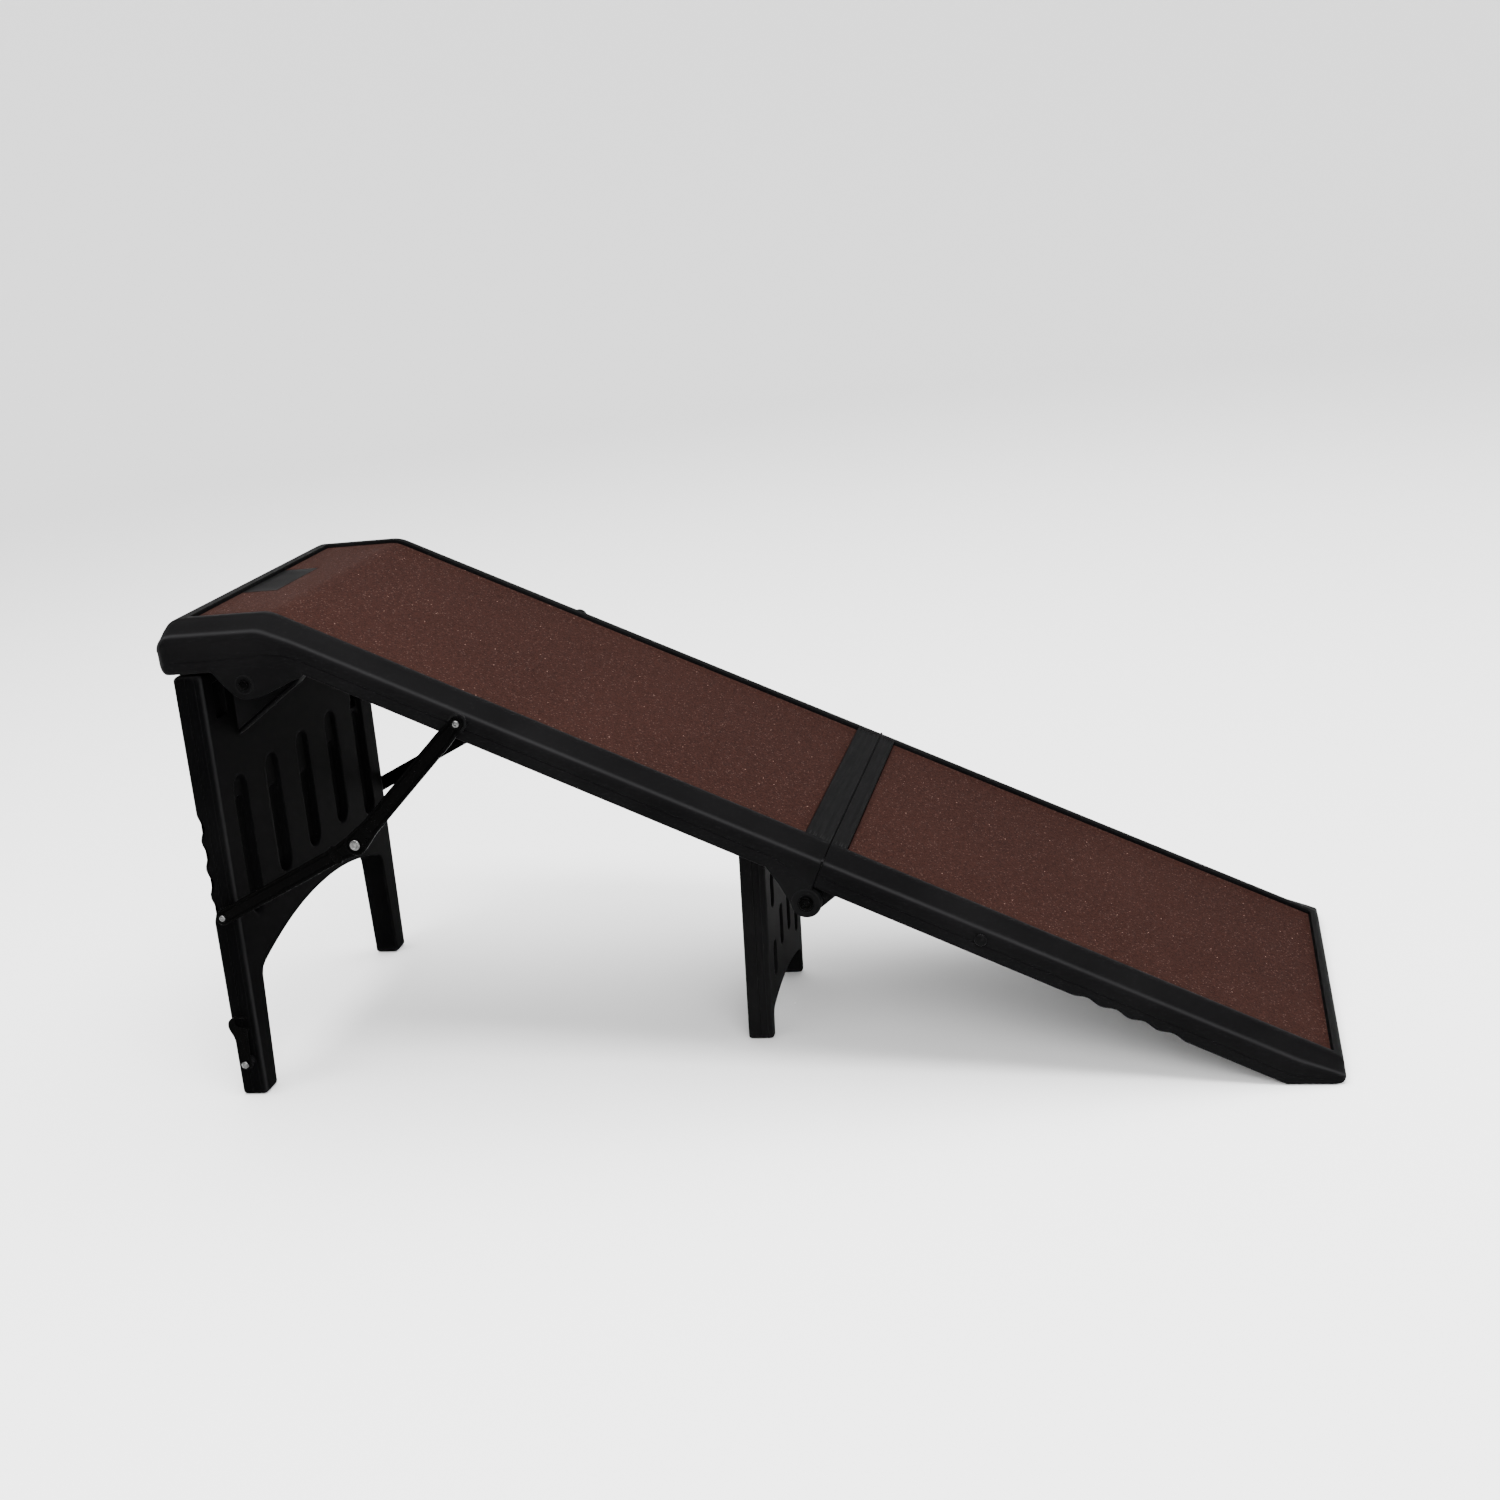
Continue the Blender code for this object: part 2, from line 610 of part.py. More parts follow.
combine(hook, "DIFFERENCE", [
    add("cut_hook_mouth", plate(mouth, -0.235, -0.245), None, LATCH_PIVOT),
    bore("cut_hook_eye", LATCH_PIVOT, 0.0033, -0.235, -0.245, LATCH_PIVOT),
])
bolt("latch_rivet", LATCH_PIVOT, 0.0050, 0.0030, 0.2140, 0.2405, 0.2430, -1, "zinc_steel", TALL_PIVOT)
tube("latch_spacer", "black_plastic", LATCH_PIVOT, 0.0075, 0.0033, 0.2283, 0.2372, -1, TALL_PIVOT)
turned(
    "latch_peg", "black_plastic", PEG,
    [(0.0040, 0.2200), (0.0040, 0.2412), (0.0065, 0.2412), (0.0065, 0.2430), (0.0050, 0.2442)], -1, HINGE,
)
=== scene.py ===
import math

import bmesh
import bpy
import numpy as np
from mathutils import Matrix, Vector


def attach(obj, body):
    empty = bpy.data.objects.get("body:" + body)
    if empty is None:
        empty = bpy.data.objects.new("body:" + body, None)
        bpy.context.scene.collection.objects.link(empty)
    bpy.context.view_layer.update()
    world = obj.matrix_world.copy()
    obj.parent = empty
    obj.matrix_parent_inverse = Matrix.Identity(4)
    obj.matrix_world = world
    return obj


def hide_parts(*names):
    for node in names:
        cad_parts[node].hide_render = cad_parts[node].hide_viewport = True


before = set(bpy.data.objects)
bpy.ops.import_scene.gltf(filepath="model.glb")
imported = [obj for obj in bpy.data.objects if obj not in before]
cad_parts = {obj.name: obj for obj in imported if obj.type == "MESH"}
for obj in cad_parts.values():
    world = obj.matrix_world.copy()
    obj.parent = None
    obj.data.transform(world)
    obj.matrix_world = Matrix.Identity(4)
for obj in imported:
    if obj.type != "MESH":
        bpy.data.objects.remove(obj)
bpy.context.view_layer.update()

# Folding pet ramp. Metres, +Z up, +X down the ramp. Lengths along x count from the high end and are moved by
# HALF when a piece is made. A place on the slope is (s, p): s along the walking surface, p square to it, downwards.

HALF = 0.6225  # half the ramp's length
DECK_Z = 0.565  # the walking surface on the landing
BEND_X = 0.130  # where the landing's plane and the slope's plane meet
BEND_RADIUS = 0.040
SLOPE = math.radians(26.45)
COS, SIN = math.cos(SLOPE), math.sin(SLOPE)
BEND_REACH = BEND_RADIUS * math.tan(SLOPE / 2)
LIP = 0.0040  # the border's height above the walking surface
POCKET = 0.0030  # the mat pocket's depth below it
PANEL_P = 0.024  # underside of the panel between the rails
RAIL_P = 0.036  # underside of the rails
RAIL_HALF = 0.2360  # outer face of the rails
WEB_IN, WEB_OUT = 0.2220, 0.2358  # faces of the ears and of the upper webs
LANDING_LOW = 0.512
NOSE = 0.026  # length of the rounding at the high end
PAD_END = 0.0772  # where the raised pad in the mat's notch ends, from the high end
SEAM = 0.665
SEAM_HALF = 0.0006
UPPER_MAT = (-0.097, 0.6355)
LOWER_MAT = (0.6836, 1.2325)
MAT_HALF = 0.1935
NOTCH_HALF, NOTCH_END = 0.0620, 0.078
TIP = 1.2370  # where the low end starts to round over
GRIP_FIRST, GRIP_PITCH = 0.9740, 0.0320
TALL_PIVOT = (0.104, 0.497)
BRACE_LEG, BRACE_MID, BRACE_RAIL = (0.026, 0.227), (0.204, 0.309), (0.344, 0.441)
LATCH_PIVOT, PEG = (0.018, 0.044), (0.883, 0.174)


def on_slope(s, p):
    """(x, z) of a point s along the walking surface from the bend and p square to it, downwards."""
    return BEND_X + s * COS - p * SIN, DECK_Z - s * SIN - p * COS


def walkway(s):
    """(x, z, turn) of the walking surface at s from the bend: level on the landing, an arc over the bend, then the
    slope. turn is its angle down from level, which grows evenly over the arc."""
    turn = SLOPE * np.clip((s + BEND_REACH) / (2 * BEND_REACH), 0, 1)
    arc_x = BEND_X - BEND_REACH + BEND_RADIUS * np.sin(turn)
    arc_z = DECK_Z - BEND_RADIUS + BEND_RADIUS * np.cos(turn)
    slope_x, slope_z = on_slope(s, 0.0)
    x = np.where(s < -BEND_REACH, BEND_X + s, np.where(s > BEND_REACH, slope_x, arc_x))
    z = np.where(s < -BEND_REACH, DECK_Z, np.where(s > BEND_REACH, slope_z, arc_z))
    return x, z, turn


HINGE = on_slope(SEAM, 0.055)
MID_PIVOT = on_slope(0.5647, 0.040)


def smooth(t):
    """The step 3t^2 - 2t^3, held at 0 and 1 outside it."""
    t = np.clip(t, 0.0, 1.0)
    return t * t * (3 - 2 * t)


# ---- meshes ----

def grid(points, wrap=False, caps=True):
    """A rows x columns grid of points as (points, faces): a square for each cell, the last column joined to the
    first where wrap is set, and one face over the first and the last row where caps is set."""
    rows, columns = points.shape[:2]
    n = np.arange(rows * columns).reshape(rows, columns)
    if wrap:
        n = np.concatenate([n, n[:, :1]], axis=1)
    squares = np.stack([n[:-1, :-1], n[:-1, 1:], n[1:, 1:], n[1:, :-1]], axis=-1)
    faces = squares.reshape(-1, 4).tolist()
    if caps:
        faces += [n[0, :columns].tolist(), n[-1, :columns].tolist()]
    return points.reshape(-1, 3), faces


WELD, SLIVER = 2e-5, 1e-6  # points this close are merged, and edges this short dissolved


def build(name, parts, body, material, replaces=(), sharp=40.0):
    """One object from its closed parts: doubles merged, faces turned outwards, smooth with sharp creases."""
    points, faces, start = [], [], 0
    for part_points, part_faces in parts:
        points.append(part_points + np.array([-HALF, 0.0, 0.0]))
        faces += [[i + start for i in face] for face in part_faces]
        start += len(part_points)
    mesh = bpy.data.meshes.new(name)
    mesh.from_pydata(np.concatenate(points).tolist(), [], faces)
    bm = bmesh.new()
    bm.from_mesh(mesh)
    bmesh.ops.remove_doubles(bm, verts=bm.verts, dist=WELD)
    bmesh.ops.dissolve_degenerate(bm, edges=bm.edges, dist=SLIVER)
    bmesh.ops.recalc_face_normals(bm, faces=bm.faces)
    bm.to_mesh(mesh)
    bm.free()
    mesh.shade_smooth()
    mesh.set_sharp_from_angle(angle=math.radians(sharp))
    mesh.materials.append(material)
    obj = bpy.data.objects.new(name, mesh)
    bpy.context.scene.collection.objects.link(obj)
    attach(obj, body)
    if replaces:
        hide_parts(*replaces)
    return obj


def outward(loop):
    """Unit normals of a closed outline, each the mean of its two edges' normals, pointing out of it."""
    edge = np.roll(loop, -1, axis=0) - loop
    normal = np.stack([edge[:, 1], -edge[:, 0]], axis=1)
    normal /= np.linalg.norm(normal, axis=1, keepdims=True) + 1e-12
    mean = normal + np.roll(normal, 1, axis=0)
    mean /= np.linalg.norm(mean, axis=1, keepdims=True) + 1e-12
    area = np.sum(loop[:, 0] * np.roll(loop[:, 1], -1) - np.roll(loop[:, 0], -1) * loop[:, 1])
    return mean if area > 0 else -mean


def plate(loop, y_in, y_out, edge=0.0012, ribs=()):
    """A side outline carried from y_in to y_out: each ring is the outline moved in by an inset. The insets run
    through a quarter round of radius edge at both faces, and ribs adds (inset, depth) steps on the outer face."""
    loop = np.asarray(loop, float)
    normal = outward(loop)
    out = math.copysign(1.0, y_out - y_in)
    angles = np.radians([0.0, 22.5, 45.0, 67.5, 90.0])
    insets = np.concatenate([
        edge * (1 - np.sin(angles)), edge * (1 - np.sin(angles[::-1])), [r[0] for r in ribs],
    ])
    y = np.concatenate([
        y_in + out * edge * (1 - np.cos(angles)),
        y_out - out * edge * (1 - np.cos(angles[::-1])),
        [y_out - out * r[1] for r in ribs],
    ])
    ring = loop[None] - insets[:, None, None] * normal[None]
    points = np.stack([ring[..., 0], np.broadcast_to(y[:, None], ring.shape[:2]), ring[..., 1]], axis=-1)
    return grid(points, wrap=True)


def turned(centre, profile, side=1, count=48, lobes=0, wave=0.0):
    """A profile of (radius, distance) turned about a line along Y. The radius swells by wave on each of the lobes."""
    r, y = np.array(profile, float).T
    a = np.linspace(0, 2 * math.pi, count, endpoint=False)
    swell = 1 + wave * np.cos(lobes * a)
    radius = r[:, None] * swell[None]
    points = np.stack([
        centre[0] + radius * np.cos(a), np.broadcast_to(side * y[:, None], radius.shape),
        centre[1] + radius * np.sin(a),
    ], axis=-1)
    return grid(points, wrap=True)


def dome(radius, y0, height, flat=0.0, dish=0.0):
    """Profile of a domed head: a short straight rim, then a quarter ellipse in to the flat, then a dish."""
    a = np.radians(np.linspace(0, 90, 8))
    rim = y0 + 0.30 * height
    r = flat + (radius - flat) * np.cos(a)
    y = rim + (height * 0.70) * np.sin(a)
    profile = [(radius * 0.97, y0), (radius, y0 + 0.08 * height)] + list(zip(r, y))
    if dish:
        profile += [(flat * 0.86, y0 + height - dish * 0.7), (flat * 0.5, y0 + height - dish)]
    return profile + [(1e-4, profile[-1][1])]


def ring_arc(centre, radius, first, last, count):
    """Points on a circle, evenly spaced from the first angle to the last, in degrees."""
    a = np.radians(np.linspace(first, last, count))
    return np.stack([centre[0] + radius * np.cos(a), centre[1] + radius * np.sin(a)], axis=1)


def rounded(points, times=2):
    """A closed outline with its corners cut, each edge keeping its middle half, as many times over as times says,
    which tends to a smooth curve."""
    p = np.asarray(points, float)
    for _ in range(times):
        q = np.roll(p, -1, axis=0)
        p = np.stack([0.75 * p + 0.25 * q, 0.25 * p + 0.75 * q], axis=1).reshape(-1, 2)
    return p


def strap(a, b, radius_a, radius_b, waist):
    """Outline of a link: round ends at a and b, and between them a half width that eases from each end's radius
    to the waist."""
    a, b = np.array(a), np.array(b)
    reach = np.linalg.norm(b - a)
    along = (b - a) / reach
    across = np.array([-along[1], along[0]])
    t = np.linspace(0.0, reach, 42)[1:-1]
    near_a, near_b = 1 - smooth(t / 0.026), smooth((t - reach + 0.030) / 0.026)
    width = waist + (radius_a - waist) * near_a + (radius_b - waist) * near_b
    lead = math.degrees(math.atan2(along[1], along[0]))
    low = a + t[:, None] * along - width[:, None] * across
    high = (a + t[:, None] * along + width[:, None] * across)[::-1]
    return np.concatenate([
        ring_arc(a, radius_a, lead + 90, lead + 270, 20), low, ring_arc(b, radius_b, lead - 90, lead + 90, 20), high,
    ])


# ---- materials ----

class Value:
    """A number socket; + - * and > on it add Math nodes."""

    def __init__(self, shade, socket):
        self.shade, self.socket = shade, socket

    def _math(self, operation, a, b):
        return self.shade.node("ShaderNodeMath", {"operation": operation}, {0: a, 1: b})

    def __add__(self, other):
        return self._math("ADD", self, other)

    def __radd__(self, other):
        return self._math("ADD", other, self)

    def __sub__(self, other):
        return self._math("SUBTRACT", self, other)

    def __rsub__(self, other):
        return self._math("SUBTRACT", other, self)

    def __mul__(self, other):
        return self._math("MULTIPLY", self, other)

    def __rmul__(self, other):
        return self._math("MULTIPLY", other, self)

    def __gt__(self, other):
        return self._math("GREATER_THAN", self, other)


class Shade:
    """One material's nodes, on the object's own coordinates."""

    def __init__(self, name):
        self.material = bpy.data.materials.new(name)
        self.material.use_nodes = True
        self.nodes = self.material.node_tree.nodes
        self.links = self.material.node_tree.links
        self.bsdf = self.nodes["Principled BSDF"]
        self.where = self.node("ShaderNodeTexCoord", {}, {}, "Object")

    def node(self, kind, settings, inputs, output=0):
        """A node with its settings, its inputs linked where they are a Value and set where not, as one output."""
        made = self.nodes.new(kind)
        for key, value in settings.items():
            setattr(made, key, value)
        for key, value in inputs.items():
            if isinstance(value, Value):
                self.links.new(value.socket, made.inputs[key])
            else:
                made.inputs[key].default_value = value
        return Value(self, made.outputs[output])

    def stretched(self, x, y, z):
        """Object coordinates multiplied by a factor along each axis."""
        return self.node("ShaderNodeMapping", {}, {"Vector": self.where, "Scale": (x, y, z)})

    def noise(self, scale, detail=2.0, rough=0.5, at=None):
        """Cloudy noise from 0 to 1, with this many waves to the metre."""
        return self.node("ShaderNodeTexNoise", {}, {
            "Vector": at or self.where, "Scale": scale, "Detail": detail, "Roughness": rough,
        }, "Fac")

    def cells(self, scale, output="Distance"):
        """Scattered cells: the distance from each one's centre, or its own random colour."""
        return self.node("ShaderNodeTexVoronoi", {}, {"Vector": self.where, "Scale": scale}, output)

    def band(self, value, low, high):
        """0 at low and 1 at high, smooth between and held outside. low may be the larger, which turns it round."""
        return self.node("ShaderNodeMapRange", {"interpolation_type": "SMOOTHSTEP"}, {
            "Value": value, "From Min": low, "From Max": high,
        })

    def mix(self, factor, a, b):
        """Colour a, turned towards colour b by the factor."""
        return self.node("ShaderNodeMix", {"data_type": "RGBA"}, {0: factor, 6: a, 7: b}, 2)

    def worn(self):
        """1 on outward edges and 0 on flats, from the mesh's pointiness."""
        pointiness = self.node("ShaderNodeNewGeometry", {}, {}, "Pointiness")
        return self.band(pointiness, 0.515, 0.60)

    def bump(self, height, strength, distance, below=None):
        """The normal of a raised height, laid over the bump below it."""
        inputs = {"Height": height, "Strength": strength, "Distance": distance}
        if below is not None:
            inputs["Normal"] = below
        return self.node("ShaderNodeBump", {}, inputs, "Normal")

    def finish(self, colour, rough, normal=None, **constants):
        """The material, with these on its shader. Constants are named by socket, with _ for each space."""
        sockets = self.bsdf.inputs
        for key, value in {"Base Color": colour, "Roughness": rough, "Normal": normal}.items():
            if isinstance(value, Value):
                self.links.new(value.socket, sockets[key])
            elif value is not None:
                sockets[key].default_value = value
        for key, value in constants.items():
            sockets[key.replace("_", " ")].default_value = value
        return self.material


def rgb(r, g, b):
    """A linear colour with full alpha."""
    return (r, g, b, 1.0)


def blown_plastic(name, dark, pale, rough, grain=1.0, specular=0.020, highlight_band=None, edge_wear_and_highlight=0.22):
    """Blow-moulded polyethylene: a fine leathery grain, slow ripples of the wall, scuffs, and paler outward edges,
    partly wear and partly a painted rim highlight, by the edge weight. The band is four values of |y| between which a
    painted highlight
    line is laid: it starts at the first, is full from the second to the third and ends at the fourth."""
    s = Shade(name)
    cloud = s.noise(7.0, 3.0)
    leather = s.cells(620.0)
    fine = s.noise(1400.0, 2.0)
    ripple = s.noise(16.0, 1.0)
    scuff = s.band(s.noise(38.0, 5.0, 0.75, at=s.stretched(1.0, 3.0, 1.0)), 0.60, 0.78)
    # Outward edges: paler partly from wear and partly as a painted highlight on the rims.
    worn = s.worn() * (0.45 + 0.55 * s.noise(55.0, 3.0))
    base = s.mix(s.band(cloud, 0.30, 0.72), rgb(*dark), rgb(*pale))
    base = s.mix(0.10 * scuff, base, rgb(0.012, 0.012, 0.0125))
    # Paler edges: wear, plus a painted rim highlight that the legs' larger weight makes strong.
    base = s.mix(edge_wear_and_highlight * worn, base, rgb(0.016, 0.016, 0.0165))
    # Painted highlight: a pale line laid in the base colour along the band, where a lamp's highlight would fall on
    # the ridge.
    if highlight_band:
        side = s.node("ShaderNodeMath", {"operation": "ABSOLUTE"}, {
            0: s.node("ShaderNodeSeparateXYZ", {}, {"Vector": s.where}, 1),
        })
        painted_highlight = s.band(side, highlight_band[0], highlight_band[1]) * (1 - s.band(side, highlight_band[2], highlight_band[3]))
        painted_highlight = painted_highlight * (0.55 + 0.45 * s.noise(9.0, 4.0))
        base = s.mix(0.62 * painted_highlight, base, rgb(0.0150, 0.0150, 0.0156))
    roughness = rough + 0.10 * (cloud - 0.5) + 0.10 * scuff - 0.10 * worn + 0.05 * (fine - 0.5)
    surface = s.bump(ripple, 0.25, 0.0012)
    surface = s.bump(leather + 0.5 * fine, 0.16 * grain, 0.00022, surface)
    return s.finish(base, roughness, surface, Specular_IOR_Level=specular)


def gritted_mat(name):
    """Brown anti-slip tread: a dense grit whose grains differ a little in colour, with sparse pale flecks."""
    s = Shade(name)
    grit = s.noise(520.0, 3.0, 0.8)
    clump = s.noise(260.0, 2.0, 0.7)
    grain = s.cells(520.0)
    tint = s.noise(230.0, 2.0)
    cloud = s.noise(4.5, 3.0)
    grains = s.band(0.7 * grit + 0.3 * clump, 0.38, 0.62)
    base = s.mix(grains, rgb(0.0060, 0.0021, 0.0015), rgb(0.0212, 0.0078, 0.0056))
    base = s.mix(0.35 * s.band(tint, 0.35, 0.70), base, rgb(0.0110, 0.0035, 0.0024))
    base = s.mix(0.16 * s.band(cloud, 0.35, 0.70), base, rgb(0.0220, 0.0080, 0.0056))
    fleck_size = s.cells(150.0)
    chosen = s.node("ShaderNodeSeparateColor", {}, {"Color": s.cells(150.0, "Color")}, 0) > 0.88
    fleck = s.band(fleck_size, 0.110, 0.065) * chosen
    tiny_size = s.cells(330.0)
    tiny_chosen = s.node("ShaderNodeSeparateColor", {}, {"Color": s.cells(330.0, "Color")}, 1) > 0.72
    tiny = s.band(tiny_size, 0.34, 0.20) * tiny_chosen
    base = s.mix(0.60 * fleck, base, rgb(0.40, 0.24, 0.20))
    base = s.mix(0.50 * tiny, base, rgb(0.070, 0.042, 0.036))
    surface = s.bump(grit + 0.6 * grain, 0.50, 0.0005)
    return s.finish(base, 0.90 - 0.20 * fleck, surface, Specular_IOR_Level=0.03)


def enamelled_steel(name):
    """Gloss black enamel on pressed steel: slight orange peel, small dust specks and dulled edges."""
    s = Shade(name)
    peel = s.noise(240.0, 1.0)
    dust = s.band(s.noise(900.0, 2.0), 0.68, 0.76)
    worn = s.worn() * (0.4 + 0.6 * s.noise(90.0, 3.0))
    base = s.mix(0.25 * dust, rgb(0.0002, 0.0002, 0.0002), rgb(0.006, 0.006, 0.006))
    base = s.mix(0.20 * worn, base, rgb(0.008, 0.008, 0.008))
    roughness = 0.20 + 0.25 * dust + 0.12 * s.noise(30.0, 3.0)
    return s.finish(base, roughness, s.bump(peel, 0.12, 0.0003), Specular_IOR_Level=0.012)


def plated_steel(name):
    """Zinc-plated steel: bright, faintly mottled, with a dull film in patches."""
    s = Shade(name)
    mottle = s.noise(420.0, 3.0, 0.6)
    film = s.band(s.noise(160.0, 3.0), 0.45, 0.75)
    base = s.mix(s.band(mottle, 0.3, 0.7), rgb(0.055, 0.055, 0.057), rgb(0.125, 0.125, 0.122))
    base = s.mix(0.50 * film, base, rgb(0.024, 0.023, 0.022))
    return s.finish(base, 0.15 + 0.16 * film + 0.06 * mottle, s.bump(mottle, 0.10, 0.0002), Metallic=1.0)


# Each band of |y| below lays a painted highlight line: along the rail ridge on the decks, along the corners on the
# legs.
deck_plastic = blown_plastic(
    "deck_plastic_shade", (0.0018, 0.0018, 0.0019), (0.0030, 0.0030, 0.0031), rough=0.56, specular=0.008,
    highlight_band=(0.2265, 0.2312, 0.2318, 0.2342),
)
leg_plastic = blown_plastic(
    "leg_plastic_shade", (0.0009, 0.0009, 0.0010), (0.0016, 0.0016, 0.0017), rough=0.52, specular=0.003,
    highlight_band=(0.2205, 0.2245, 0.2255, 0.2280), edge_wear_and_highlight=0.75,
)
# A lighter copy of the leg plastic for the middle leg: its base is raised to make up for the shade under the deck,
# painted light.
mid_leg_lit_plastic = blown_plastic(
    "mid_leg_plastic_lit_copy", (0.0034, 0.0034, 0.0035), (0.0055, 0.0055, 0.0056), rough=0.52, specular=0.003,
    highlight_band=(0.0955, 0.0990, 0.1000, 0.1020), edge_wear_and_highlight=0.60,
)
small_plastic = blown_plastic(
    "small_plastic_shade", (0.0008, 0.0008, 0.0009), (0.0014, 0.0014, 0.0015), rough=0.30, grain=0.6,
)
tread = gritted_mat("tread_mat_shade")
enamel = enamelled_steel("black_steel_shade")
zinc = plated_steel("zinc_steel_shade")


# ---- decks ----

def merged(*runs):
    """Station values of several runs in order, each kept once."""
    return np.unique(np.round(np.concatenate([np.atleast_1d(r) for r in runs]), 6))


def section(top_x, top_z, low_x, low_z, up_x, up_z, floor, pad, crease, groove, panel, lift, width, near):
    """Half of a deck's skin, stations x columns x 3, from the middle of the top out over the rail and back under.
    Each column has a height p below the mat's plane at a station. A point with p above 0 lies on the straight line
    from the top (top_x, top_z) to the bottom (low_x, low_z) at p / RAIL_P of it; one above the plane lies along the
    upward normal (up_x, up_z). The outer columns draw in by width, and on the near rail the bottom rises by lift.
    floor is the height of the mat's pocket, pad marks the stations of the raised pad, crease and groove are the
    moulding line's height and depth, and panel is the underside between the rails."""
    n = len(top_x)
    col_y, col_p = [], []

    def put(y, p, scale=0.0):
        """Adds one column at y and p, drawn in by scale times the width."""
        col_y.append(np.broadcast_to(y, (n,)) - scale * width)
        col_p.append(np.broadcast_to(p, (n,)))

    flat = np.full(n, -LIP)
    bare = np.clip((floor + LIP) / (LIP + POCKET), 0, 1)
    pad_p = np.where(pad, 0.0, floor)
    for y in (0.0, 0.030, 0.0604):
        put(y, pad_p)
    put(0.0611, np.where(pad, 0.0006, floor))
    put(0.0612, floor)
    for y in (0.080, 0.105, 0.130, 0.155, 0.180, 0.1943):
        put(y, floor)
    put(0.1945, -LIP + bare * 0.0014)
    put(0.1949, -LIP + bare * 0.0004)
    put(0.1957, flat)
    put(0.2010, flat)
    put(0.2046, flat + 0.0001, 0.05)
    for y in np.linspace(0.2065, 0.2245, 6):
        put(y, -LIP + 0.0003 + (y - 0.2050) * 0.405, (y - 0.2) / 0.036)
    for a in np.radians(np.linspace(18, 89, 9)):
        put(0.2285 + 0.0075 * math.sin(a), 0.0133 - 0.0075 * math.cos(a), 0.9)
    for t in (0.35, 0.75):
        put(RAIL_HALF - 0.0002 * (1 - t), 0.0140 + t * (crease - 0.0022 - 0.0140), 1.0)
    for off, cut in ((-0.0014, 0.0), (-0.0005, 0.7), (0.0, 1.0), (0.0007, 0.75), (0.0018, 0.25), (0.0030, 0.0)):
        put(RAIL_HALF - 0.0011 * cut * groove, crease + off, 1.0)
    low = RAIL_P - (lift if near else 0.0)
    put(RAIL_HALF, np.maximum(low - 0.0052, crease + 0.0033), 1.0)
    for a in np.radians(np.linspace(20, 90, 5)):
        corner = low - 0.0045 + 0.0045 * math.sin(a)
        put(RAIL_HALF - 0.0045 * (1 - math.cos(a)), np.maximum(corner, crease + 0.0036), 1.0)
    put(0.2230, low, 0.9)
    put(0.2120, low, 0.45)
    put(0.2085, low, 0.3)
    put(0.2080, RAIL_P, 0.3)
    put(0.2030, RAIL_P, 0.1)
    put(0.2009, RAIL_P - (RAIL_P - panel) * 0.05)
    put(0.2000, RAIL_P - (RAIL_P - panel) * 0.20)
    put(0.1996, RAIL_P - (RAIL_P - panel) * 0.90)
    put(0.1980, panel)
    for y in (0.165, 0.120, 0.080, 0.040, 0.0):
        put(y, panel)
    y, p = np.stack(col_y, axis=1), np.stack(col_p, axis=1)
    down = np.maximum(p, 0.0) / RAIL_P
    up = np.maximum(-p, 0.0)
    x = top_x[:, None] + down * (low_x - top_x)[:, None] + up * up_x[:, None]
    z = top_z[:, None] + down * (low_z - top_z)[:, None] + up * up_z[:, None]
    return np.stack([x, (-1 if near else 1) * y, z], axis=-1)


def both_halves(far, near):
    """The far half followed by the near half run backwards, as closed rings; the middle columns are shared."""
    return np.concatenate([far, near[:, ::-1][:, 1:-1]], axis=1)


def end_ease(distance, radius):
    """How far a rounded edge has drawn in at a distance from the end: radius less the quarter circle's height."""
    t = np.clip(1 - distance / radius, 0, 1)
    return radius * (1 - np.sqrt(np.maximum(1 - t * t, 0.0)))


